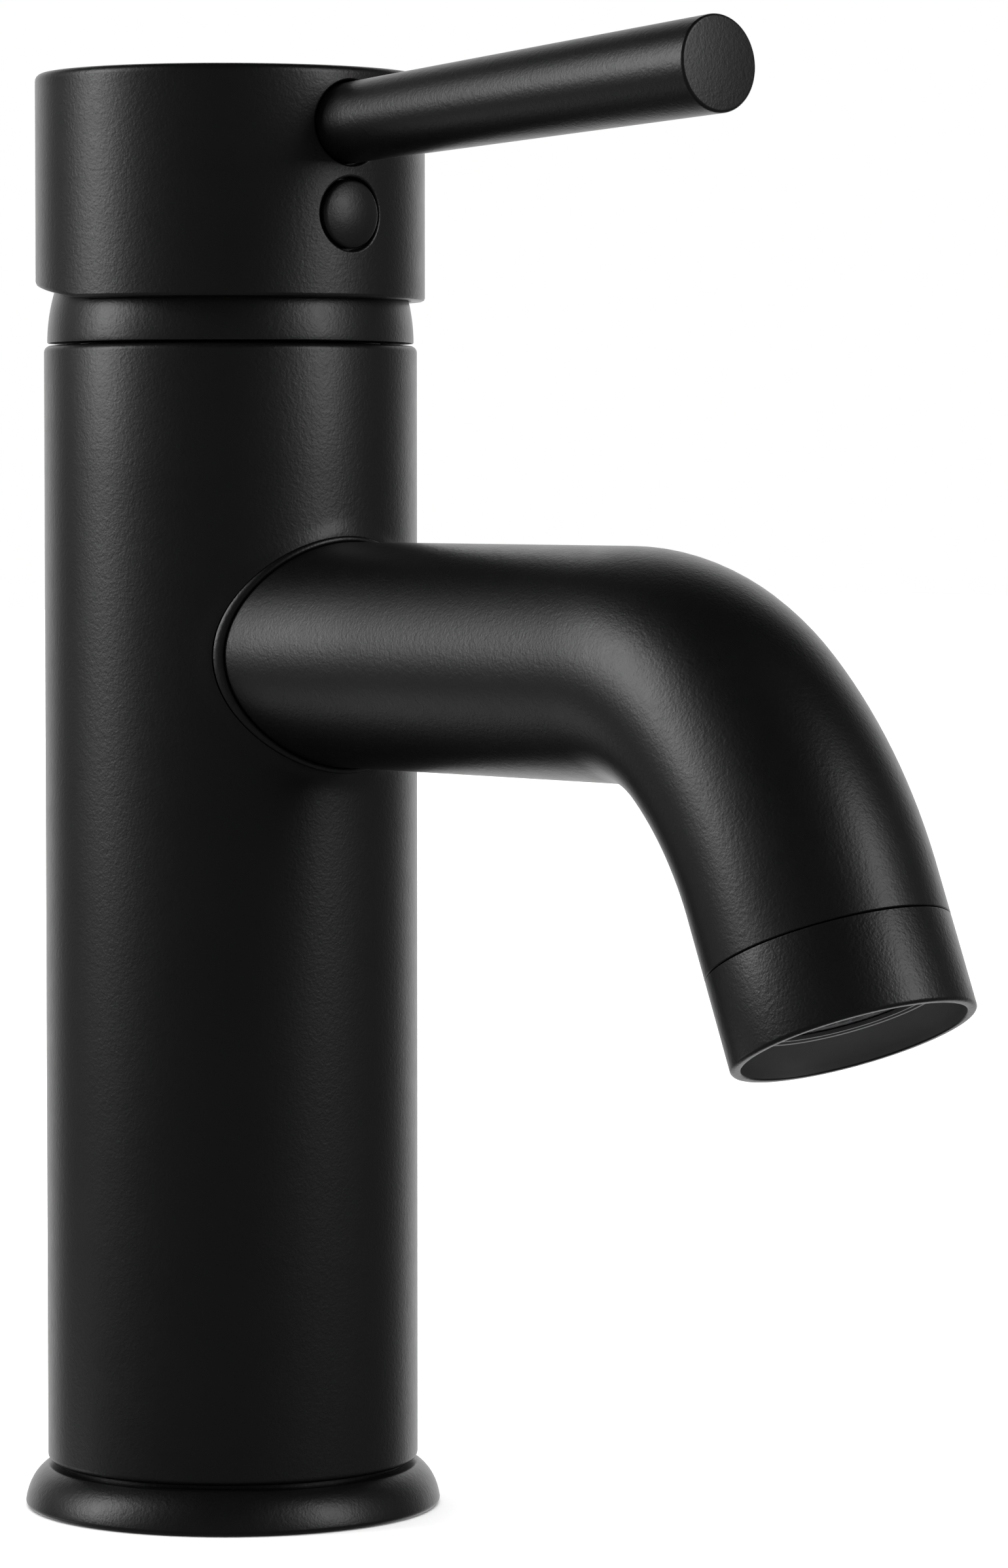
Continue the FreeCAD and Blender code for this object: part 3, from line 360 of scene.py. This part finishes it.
def finish_piece(name, bm, coat, slot, body, *nodes, crease=40):
    """Close up a mesh, point its faces outwards, and hang it on its body in place of its CAD nodes."""
    bmesh.ops.remove_doubles(bm, verts=bm.verts, dist=0.002 * MM)
    bmesh.ops.recalc_face_normals(bm, faces=bm.faces)
    for face in bm.faces:
        face.smooth = True
    for edge in bm.edges:
        edge.smooth = edge.calc_face_angle(0) < math.radians(crease)
    mesh = bpy.data.meshes.new(name)
    bm.to_mesh(mesh)
    bm.free()
    mesh.materials.append(coat)
    made = bpy.data.objects.new(name, mesh)
    bpy.context.scene.collection.objects.link(made)
    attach(made, body)
    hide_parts(*nodes)
    return made


def add_turned(bm, corners):
    """Add a turned open outline to a mesh that is being made."""
    extra = turned(corners, False)
    mesh = bpy.data.meshes.new("extra")
    extra.to_mesh(mesh)
    extra.free()
    bm.from_mesh(mesh)
    bpy.data.meshes.remove(mesh)


def spout_height(_):
    """The spout's hole is level."""
    return SPOUT_Z


def wall_foot(_):
    """The wall with the hole in it starts level."""
    return WALL_LOW


coat = black_coat("satin_black_coat")
column = bmesh.new()
bead = []
for step in range(BEAD_STEPS + 1):
    turn = math.pi * step / BEAD_STEPS
    bead_hole_r = SPOUT_HOLE_R + BEAD_R * (1 + math.cos(turn))
    bead.append((bead_hole_r, BODY_R + HOLE_SWELL + BEAD_R * math.sin(turn)))
wall_round_hole(
    column, BODY_R, bead[0][0], spout_height, wall_foot, WALL_HIGH, SPOUT_HOLE_OVAL, HOLE_SWELL
)
wall_round_hole(column, BORE_R, SPOUT_HOLE_R, spout_height, wall_foot, SEAT_TOP, SPOUT_HOLE_OVAL)
hole_side(column, bead + [(SPOUT_HOLE_R, BORE_R)], spout_height, oval=SPOUT_HOLE_OVAL)
add_turned(
    column,
    [
        (BODY_R, WALL_HIGH),
        (BODY_R, COLUMN_TOP, EDGE_BREAK),
        (NUT_THREAD_R, COLUMN_TOP, 0.25),
        (NUT_THREAD_R, NUT_THREAD_END),
        (CARTRIDGE_R, NUT_THREAD_END),
        (CARTRIDGE_R, SEAT_TOP),
        (BORE_R, SEAT_TOP),
    ],
)
add_turned(
    column,
    [
        (BODY_R, WALL_LOW),
        (BODY_R, SPIGOT_TOP, EDGE_BREAK),
        (SPIGOT_R, SPIGOT_TOP),
        (SPIGOT_R, GROOVE_TOP),
        (GROOVE_R, GROOVE_TOP),
        (GROOVE_R, GROOVE_BOTTOM),
        (SPIGOT_R, GROOVE_BOTTOM),
        (SPIGOT_R, SPIGOT_BOTTOM, 0.2),
        (BORE_R, SPIGOT_BOTTOM, 0.2),
        (BORE_R, WALL_LOW),
    ],
)
finish_piece("column", column, coat, "black_metal", "faucet", "body")


# ---- Foot ----
# A flared ring of turned brass in the same coat, pushed up round the column's spigot.
# A flat rubber seal lies in its underside, flush with the deck.

FLARE_BOTTOM = Vector((25.8, 0.5))
FLARE_TOP = Vector((23.1, 5.2))
FLARE_BELLY = 0.45
FLARE_STEPS = 8
FOOT_SOCKET_R = 21.65
FOOT_WEB_TOP = 1.6
FOOT_BORE_R = 18.0
SEAL_INNER_R = 19.55
SEAL_OUTER_R = 23.85
SEAL_DEPTH = 1.2

flare = []
for step in range(1, FLARE_STEPS):
    share = step / FLARE_STEPS
    point = FLARE_BOTTOM.lerp(FLARE_TOP, share) + Vector((1, 1)) * FLARE_BELLY * 4 * share * (1 - share)
    flare.append((point.x, point.y))
foot = turned(
    [
        (FOOT_BORE_R, 0),
        (SEAL_INNER_R, 0),
        (SEAL_INNER_R, SEAL_DEPTH),
        (SEAL_OUTER_R, SEAL_DEPTH),
        (SEAL_OUTER_R, 0),
        (FLARE_BOTTOM.x - FLARE_BOTTOM.y, 0, 0.15),
        (*FLARE_BOTTOM, 0.25),
        *flare,
        (*FLARE_TOP, 0.2),
        (FOOT_SOCKET_R, FLARE_TOP.y, 0.1),
        (FOOT_SOCKET_R, FOOT_WEB_TOP),
        (FOOT_BORE_R, FOOT_WEB_TOP),
    ]
)
finish_piece("foot", foot, coat, "black_metal", "faucet", "base_flange")


# ---- Spout ----
# Brass tube with an even bore, drawn round in a tight bend that eases off, and a touch wider at its end.
# Its root is spread a little sideways and brazed into the column's side before coating, and its end is
# threaded inside for the aerator.

SPOUT_ROOT_R = 13.65
SPOUT_END_R = 14.1
SPOUT_BORE_R = 11.5
SOCKET_R = 12.0
SPOUT_STRAIGHT = 74.6
BENDS = ((27.0, 42.0), (50.0, 25.0))
BEND_STEPS = 14
SPOUT_TAIL = 6.6
SPOUT_FACES = 128
SEAM = 0.15  # open joint between the spout's end and the collar
SOCKET_DEPTH = 8
RIM_BREAK = 0.1
COLLAR_LENGTH = 10.8
ROOT_SPREAD = 1.095
# Each stage of the root: the round wall that it would lie against, and how far it is spread sideways.
ROOT_FLARE = [(24.0, 1.09), (28.0, 1.07), (33.0, 1.04), (38.0, 1.015), (43.0, 1.0)]


def heading(angle):
    """Direction along the spout, this many degrees down."""
    return Vector((math.cos(math.radians(angle)), 0, -math.sin(math.radians(angle))))


def carried(bm, ring, matrix):
    """Carry a ring of edges on to its next place, with faces behind it."""
    made = bmesh.ops.extrude_edge_only(bm, edges=ring)["geom"]
    bmesh.ops.transform(bm, matrix=matrix, verts=[g for g in made if isinstance(g, bmesh.types.BMVert)])
    return [g for g in made if isinstance(g, bmesh.types.BMEdge)]


def about(centre, matrix):
    """The same turn or scale, about a point given in millimetres."""
    there = Matrix.Translation(centre * MM)
    return there @ matrix @ there.inverted()


def saddle(ring, wall_r, spread_by):
    """Lay a ring of the tube against a round wall, and spread it sideways."""
    for vert in {vert for edge in ring for vert in edge.verts}:
        vert.co.y *= spread_by
        vert.co.x = math.sqrt((wall_r * MM) ** 2 - vert.co.y**2)


spout = bmesh.new()
facing_root = Matrix.Translation((0, 0, SPOUT_Z * MM)) @ Matrix.Rotation(math.pi / 2, 4, "Y")
bmesh.ops.create_circle(spout, segments=SPOUT_FACES, radius=SPOUT_ROOT_R * MM, matrix=facing_root)
rings = [spout.edges[:]]
for _ in ROOT_FLARE:
    rings.append(carried(spout, rings[-1], Matrix()))
end_of_straight = Matrix.Translation((SPOUT_STRAIGHT * MM, 0, 0))
ring = carried(spout, rings[-1], end_of_straight)
for laid, (wall_r, spread_by) in zip(rings, [(BORE_R, ROOT_SPREAD)] + ROOT_FLARE):
    saddle(laid, wall_r, spread_by)
centre = Vector((SPOUT_STRAIGHT, 0, SPOUT_Z))
angle = 0.0
growth = (SPOUT_END_R / SPOUT_ROOT_R) ** (1 / (BEND_STEPS * len(BENDS)))
way_back = []
for bend_r, turn in BENDS:
    pivot = centre - heading(angle - 90) * bend_r
    swing = about(pivot, Matrix.Rotation(math.radians(turn / BEND_STEPS), 4, "Y"))
    for _ in range(BEND_STEPS):
        centre = (swing @ (centre * MM)) / MM
        ring = carried(spout, ring, about(centre, Matrix.Scale(growth, 4)) @ swing)
    way_back.append(swing.inverted())
    angle += turn
down = heading(angle)
ring = carried(spout, ring, Matrix.Translation(down * (SPOUT_TAIL - SEAM - RIM_BREAK) * MM))
centre += down * (SPOUT_TAIL - SEAM - RIM_BREAK)
rim_in = about(centre, Matrix.Scale((SPOUT_END_R - RIM_BREAK) / SPOUT_END_R, 4))
ring = carried(spout, ring, Matrix.Translation(down * RIM_BREAK * MM) @ rim_in)
centre += down * RIM_BREAK
ring = carried(spout, ring, about(centre, Matrix.Scale(SOCKET_R / (SPOUT_END_R - RIM_BREAK), 4)))
ring = carried(spout, ring, Matrix.Translation(-down * (SOCKET_DEPTH - SEAM) * MM))
centre -= down * (SOCKET_DEPTH - SEAM)
ring = carried(spout, ring, about(centre, Matrix.Scale(SPOUT_BORE_R / SOCKET_R, 4)))
ring = carried(spout, ring, Matrix.Translation(down * (SOCKET_DEPTH - SPOUT_TAIL) * MM))
for swing in reversed(way_back):
    for _ in range(BEND_STEPS):
        ring = carried(spout, ring, swing)
ring = carried(spout, ring, end_of_straight.inverted())
saddle(ring, BORE_R, 1.0)
bmesh.ops.bridge_loops(spout, edges=ring + rings[0])
finish_piece("spout_tube", spout, coat, "black_metal", "faucet", "spout")


# ---- Outlet ----
# The collar screws into the spout's end and carries on its outside. Inside it sit a plastic sleeve, a
# honeycomb flow straightener, a diffuser plate and a steel strainer, with a rubber washer on top.

OUTLET_AT = centre + down * (SOCKET_DEPTH + COLLAR_LENGTH)
outlet = Matrix.Translation(OUTLET_AT * MM) @ (-down).to_track_quat("Z", "Y").to_matrix().to_4x4()

THREAD_R = 11.95
THREAD_ROOT_R = 11.6
THREAD_START = 11.3
THREAD_PITCH = 0.8
THREAD_TURNS = 8
THREAD_END = 17.8
SLEEVE_BORE_R = 10.95
MOUTH_R = 12.95
SHELF_R = 10.4  # hole in the collar's inner shelf, which the aerator sits on
SHELF_TOP = 4.2
SHELF_EDGE = 3.6
RIDGE_INNER_R = 11.22
RIDGE_OUTER_R = 11.35
RIDGE_HEIGHT = 3.42
GAP = 0.02  # allowed round a limit when faces are picked by their place

thread = []
for turn in range(THREAD_TURNS):
    start = THREAD_START + turn * THREAD_PITCH
    thread += [
        (THREAD_R, start),
        (THREAD_R, start + 0.3),
        (THREAD_ROOT_R, start + 0.55),
        (THREAD_ROOT_R, start + 0.65),
    ]
collar = turned(
    [
        (MOUTH_R, 0, 0.18),
        (SPOUT_END_R, 0, 0.45),
        (SPOUT_END_R, COLLAR_LENGTH, 0.1),
        (THREAD_R, COLLAR_LENGTH),
        *thread,
        (THREAD_ROOT_R, THREAD_END),
        (SLEEVE_BORE_R, THREAD_END),
        (SLEEVE_BORE_R, SHELF_TOP),
        (SHELF_R, SHELF_TOP, 0.1),
        (SHELF_R, SHELF_EDGE, 0.07),
        (10.75, 3.6, 0.05),
        (10.85, 3.8, 0.05),
        (11.15, 3.8, 0.05),
        (11.3, 3.5, 0.06),
        (12.8, 2.0, 1.2),
    ]
)
bmesh.ops.transform(collar, matrix=outlet, verts=collar.verts)
collar_piece = finish_piece(
    "outlet_collar", collar, black_coat("collar_coat", 1.35), "black_metal", "faucet", "aerator_collar"
)


def moulded(name, low, high, roughness, grain=0.006):
    """Moulded plastic or rubber: an even colour with slight clouding, and a faint spark-eroded skin."""
    made, tree, shader = material(name)
    tree.links.new(colour_of(tree, low, high, noise(tree, 4.0, 4.0)), shader.inputs["Base Color"])
    shine = spread(tree, noise(tree, 1.2), roughness - 0.04, roughness + 0.04)
    tree.links.new(shine, shader.inputs["Roughness"])
    bump(tree, shader, noise(tree, 0.3, 3.0), grain)
    return made


def worked_metal(name, low, high, roughness, stretch):
    """Bare metal with the fine lines that a cutting tool or a brush leaves."""
    made, tree, shader = material(name)
    lines = noise(tree, 1.0, 5.0, stretch)
    tree.links.new(colour_of(tree, low, high, noise(tree, 3.0, 4.0)), shader.inputs["Base Color"])
    tree.links.new(spread(tree, lines, roughness - 0.08, roughness + 0.1), shader.inputs["Roughness"])
    shader.inputs["Metallic"].default_value = 1.0
    bump(tree, shader, lines, 0.004)
    return made


def finish_nodes(made, *names):
    """Give carried-over CAD nodes their material."""
    for name in names:
        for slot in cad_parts[name].material_slots:
            slot.material = made


rubber = moulded("seal_rubber", (0.012, 0.012, 0.012), (0.022, 0.022, 0.022), 0.72, 0.01)
steel = worked_metal("strainer_steel", (0.55, 0.55, 0.56), (0.66, 0.66, 0.67), 0.32, (1, 1, 12))
# Lighter grey on the mouth's inner wall: painted light, standing in for the glow of the pale floor lighting
# it from below.
mouth_floor_light_paint = moulded("mouth_painted_floor_light", (0.020, 0.020, 0.020), (0.027, 0.027, 0.027), 0.6)
# Pale grey on the shelf's edge and on the ridge inside the mouth: painted highlights, giving two thin light
# rings.
painted_highlight_edges = moulded("painted_highlight_edges", (0.13, 0.13, 0.13), (0.2, 0.2, 0.2), 0.45)
collar_piece.data.materials.append(mouth_floor_light_paint)
collar_piece.data.materials.append(painted_highlight_edges)
upright = outlet.inverted()
# Faces inside the mouth take the painted floor light, and the shelf's edge and the ridge take the painted
# highlights.
for face in collar_piece.data.polygons:
    at = upright @ face.center / MM
    out = math.hypot(at.x, at.y)
    inside_mouth = 0.3 < at.z < SHELF_TOP - 0.1 and SHELF_R - 0.1 < out < MOUTH_R + GAP
    shelf_edge = out < SHELF_R + 0.1 and at.z < SHELF_EDGE + 0.1
    ridge = RIDGE_INNER_R < out < RIDGE_OUTER_R and at.z > RIDGE_HEIGHT
    if inside_mouth:
        face.material_index = 2 if shelf_edge or ridge else 1
finish_nodes(moulded("aerator_plastic", (0.02, 0.02, 0.021), (0.03, 0.03, 0.031), 0.38), "aerator_sleeve")
finish_nodes(
    moulded("straightener_plastic", (0.06, 0.06, 0.062), (0.08, 0.08, 0.082), 0.3),
    "aerator_honeycomb",
    "aerator_diffuser",
)
finish_nodes(steel, "aerator_screen")
finish_nodes(rubber, "aerator_washer")


# ---- Dome ring ----
# Trim ring pushed over the retaining nut. Its outside is part of a ball centred on the handle's pin,
# so that the cap slides round it with the same narrow gap wherever it tilts.

PIVOT_Z = 144.1
DOME_R = 22.6
DOME_TOP = 152.1
DOME_BORE_R = 18.6
DOME_MOUTH_R = 15.6
DOME_ROOF_BOTTOM = 149.2
DOME_STEPS = 12

ball_side = []
for step in range(1, DOME_STEPS):
    height = (DOME_TOP - PIVOT_Z) * step / DOME_STEPS
    ball_side.append((math.sqrt(DOME_R**2 - height**2), PIVOT_Z + height))
dome = turned(
    [
        (DOME_BORE_R, PIVOT_Z),
        (DOME_R, PIVOT_Z, 0.15),
        *ball_side,
        (math.sqrt(DOME_R**2 - (DOME_TOP - PIVOT_Z) ** 2), DOME_TOP, 0.3),
        (DOME_MOUTH_R, DOME_TOP, 0.1),
        (DOME_MOUTH_R, DOME_ROOF_BOTTOM),
        (DOME_BORE_R, DOME_ROOF_BOTTOM),
    ]
)
finish_piece("dome_trim", dome, coat, "black_metal", "faucet", "dome_ring")


# ---- Handle cap ----
# Die-cast zinc cap in the same coat, open below, with a boss and web inside that take the stem, the lever
# and the set screw. The back of its rim rises so that it clears the column when the lever is lifted.

CAP_R = 23.998
CAP_INNER_R = 22.148
CAP_BOTTOM = 149.3
CAP_TOP = 177.1
CAP_CEILING = 173.8
CAP_MIDDLE = 164.45  # between the lever's hole and the button's
CAP_SHOULDER = 176.15
RIM_ROUND = 0.4
RELIEF = math.tan(math.radians(8))
LEVER_Z = 168.9
LEVER_RISE = 3.25
LEVER_HOLE_R = 5.1
LEVER_HOLE_LIP = 0.25
LEVER_SHOULDER = 20.0
SCREW_Z = 159.3
BUTTON_HOLE_R = 4.45
BUTTON_HOLE_LIP = 0.3
BUTTON_FLOOR = 19.2
HOLE_MIDDLE_R = 0.01  # where the faces of a hole's flat floor meet
BOSS_BOTTOM = 154.6
BOSS_R = 8.0
WEB_LENGTH = 23
WEB_WIDTH = 14.4
WEB_MIDDLE = 10.6
CAST_ROUND = 0.8


def lever_line(x):
    """The lever's hole rises outwards."""
    return LEVER_Z + x * math.tan(math.radians(LEVER_RISE))


def button_line(_):
    """The button's hole is level."""
    return SCREW_Z


def middle_line(_):
    """The two holes' walls meet at one height."""
    return CAP_MIDDLE


def rim_line(x):
    """The cap's rim, which rises towards the back."""
    return CAP_BOTTOM + RIM_ROUND + max(0, -x) * RELIEF


cap = bmesh.new()
add_turned(
    cap,
    [
        (CAP_R, CAP_BOTTOM + RIM_ROUND),
        (CAP_R - 0.12, CAP_BOTTOM + 0.12),
        (CAP_R - RIM_ROUND, CAP_BOTTOM),
        (CAP_INNER_R + 0.2, CAP_BOTTOM),
        (CAP_INNER_R, CAP_BOTTOM + 0.2),
        (CAP_INNER_R, CAP_CEILING, CAST_ROUND),
        (0, CAP_CEILING),
    ],
)
for vert in cap.verts:
    if vert.co.z < (CAP_BOTTOM + 1.5 * RIM_ROUND) * MM:
        vert.co.z += max(0, -vert.co.x) * RELIEF
add_turned(cap, [(CAP_R, CAP_SHOULDER), (CAP_R, CAP_TOP, 0.9), (0, CAP_TOP)])
wall_round_hole(cap, CAP_R, LEVER_HOLE_R + LEVER_HOLE_LIP, lever_line, middle_line, CAP_SHOULDER)
wall_round_hole(cap, CAP_R, BUTTON_HOLE_R + BUTTON_HOLE_LIP, button_line, rim_line, CAP_MIDDLE)
lever_floor = [(LEVER_HOLE_R, LEVER_SHOULDER), (HOLE_MIDDLE_R, LEVER_SHOULDER)]
hole_side(cap, lip(LEVER_HOLE_R, CAP_R, LEVER_HOLE_LIP) + lever_floor, lever_line, LEVER_SHOULDER)
button_floor = [(BUTTON_HOLE_R, BUTTON_FLOOR), (HOLE_MIDDLE_R, BUTTON_FLOOR)]
hole_side(cap, lip(BUTTON_HOLE_R, CAP_R, BUTTON_HOLE_LIP) + button_floor, button_line, BUTTON_FLOOR)
finish_piece("handle_shell", cap, coat, "black_metal", "handle", "handle_cap")

boss = bmesh.new()
block = bmesh.ops.create_cube(boss, size=1.0)["verts"]
bmesh.ops.scale(boss, vec=(WEB_LENGTH * MM, WEB_WIDTH * MM, (CAP_CEILING - BOSS_BOTTOM) * MM), verts=block)
bmesh.ops.translate(boss, vec=(WEB_MIDDLE * MM, 0, (CAP_CEILING + BOSS_BOTTOM) / 2 * MM), verts=block)
bmesh.ops.bevel(
    boss,
    geom=boss.edges[:],
    offset=CAST_ROUND * MM,
    segments=3,
    profile=0.5,
    affect="EDGES",
    material=-1,
)
post = turned(
    [(0, BOSS_BOTTOM), (BOSS_R, BOSS_BOTTOM, CAST_ROUND), (BOSS_R, CAP_CEILING), (0, CAP_CEILING)],
    False,
    48,
)
finish_piece("handle_web", boss, coat, "black_metal", "handle", "handle_cap")
finish_piece("handle_boss", post, coat, "black_metal", "handle", "handle_cap")


# ---- Lever ----
# Solid rod turned with a slight taper, wider at its free end, coated like the rest. A threaded spigot
# screws it into the cap, where it stands in a close round hole.

LEVER_END = 89.85
LEVER_ROOT_R = 4.8
LEVER_END_R = 5.6
LEVER_SPIGOT_R = 3.0
LEVER_SPIGOT_END = 9.5
LEVER_SEAT = LEVER_SHOULDER + 0.05

lever = turned(
    [
        (0, LEVER_SPIGOT_END),
        (LEVER_SPIGOT_R, LEVER_SPIGOT_END, 0.3),
        (LEVER_SPIGOT_R, LEVER_SEAT),
        (LEVER_ROOT_R, LEVER_SEAT),
        (LEVER_END_R, LEVER_END, 0.4),
        (0, LEVER_END),
    ],
    False,
)
along_lever = Matrix.Translation((0, 0, LEVER_Z * MM)) @ Matrix.Rotation(
    math.radians(90 - LEVER_RISE), 4, "Y"
)
bmesh.ops.transform(lever, matrix=along_lever, verts=lever.verts)
finish_piece("lever", lever, coat, "black_metal", "handle", "lever_rod")


# ---- Button and set screw ----
# A domed plastic plug, moulded in black to match, pressed over the grub screw that clamps the cap to
# the stem. The screw is steel with a hexagon socket.

BUTTON_R = 4.15
BUTTON_EDGE = 4.7
BUTTON_CROWN = 0.7
BUTTON_BACK = 0.05
PLUG_R = 2.95
PLUG_LENGTH = 4.0
CROWN_STEPS = 8

ball = (BUTTON_R**2 + BUTTON_CROWN**2) / (2 * BUTTON_CROWN)
crown = []
for step in range(1, CROWN_STEPS):
    out = BUTTON_R * (1 - step / CROWN_STEPS)
    crown.append((out, BUTTON_EDGE + BUTTON_CROWN - ball + math.sqrt(ball**2 - out**2)))
button = turned(
    [
        (0, -PLUG_LENGTH),
        (PLUG_R, -PLUG_LENGTH, 0.4),
        (PLUG_R, BUTTON_BACK),
        (BUTTON_R, BUTTON_BACK),
        (BUTTON_R, BUTTON_EDGE, 0.3),
        *crown,
        (0, BUTTON_EDGE + BUTTON_CROWN),
    ],
    False,
    96,
)
forward = Matrix.Translation((BUTTON_FLOOR * MM, 0, SCREW_Z * MM)) @ Matrix.Rotation(math.pi / 2, 4, "Y")
bmesh.ops.transform(button, matrix=forward, verts=button.verts)
finish_piece(
    "cover_button", button, black_coat("button_black", 0.8), "black_plastic", "handle", "index_button"
)
finish_nodes(steel, "set_screw")


# ---- Stem, rotor and driver ----
# The brass stem tilts on a steel pin in the rotor, and the ball at its foot slides the driver.
# Rotor and driver are moulded in white acetal, and the ring that limits the turn in red.

brass = worked_metal("turned_brass", (0.62, 0.42, 0.17), (0.74, 0.53, 0.25), 0.26, (1, 1, 14))
acetal = moulded("white_acetal", (0.74, 0.74, 0.71), (0.82, 0.82, 0.79), 0.36)
finish_nodes(brass, "stem")
finish_nodes(steel, "stem_pin")
finish_nodes(acetal, "rotor", "disc_driver")
finish_nodes(moulded("red_acetal", (0.42, 0.03, 0.025), (0.5, 0.045, 0.035), 0.4), "limit_ring")


# ---- Cartridge ----
# Two lapped alumina discs do the mixing, the upper one sliding and turning on the lower. They sit in a
# white plastic case on rubber seals, held down in the column by a brass nut, coloured near black as painted
# shade where it shows in the seam under the dome ring.

alumina, tree, shader = material("lapped_alumina")
alumina_tint = colour_of(tree, (0.78, 0.76, 0.7), (0.86, 0.84, 0.79), noise(tree, 1.5, 6.0))
tree.links.new(alumina_tint, shader.inputs["Base Color"])
tree.links.new(spread(tree, noise(tree, 0.6), 0.1, 0.2), shader.inputs["Roughness"])
bump(tree, shader, noise(tree, 0.2, 4.0), 0.0015)
finish_nodes(alumina, "fixed_disc", "moving_disc")
finish_nodes(acetal, "cartridge_housing", "cartridge_base")
# The nut's near-black colour is painted shade for the narrow seam under the dome ring.
finish_nodes(
    worked_metal("nut_painted_shade_brass", (0.012, 0.011, 0.010), (0.022, 0.020, 0.018), 0.5, (1, 1, 14)),
    "retaining_nut",
)
finish_nodes(rubber, "port_seals", "disc_seals", "nut_o_ring")


# ---- Water way ----
# A brass block closes the column's foot and takes the two hoses and the fixing stud. Two drawn tubes
# carry hot and cold up to the brass seat under the cartridge, and mixed water comes down round them.

finish_nodes(brass, "inlet_block", "cartridge_seat")
finish_nodes(
    worked_metal("drawn_copper", (0.72, 0.36, 0.2), (0.82, 0.46, 0.28), 0.24, (14, 14, 1)),
    "supply_tubes",
)
finish_nodes(rubber, "block_o_ring", "flange_o_ring", "base_seal")
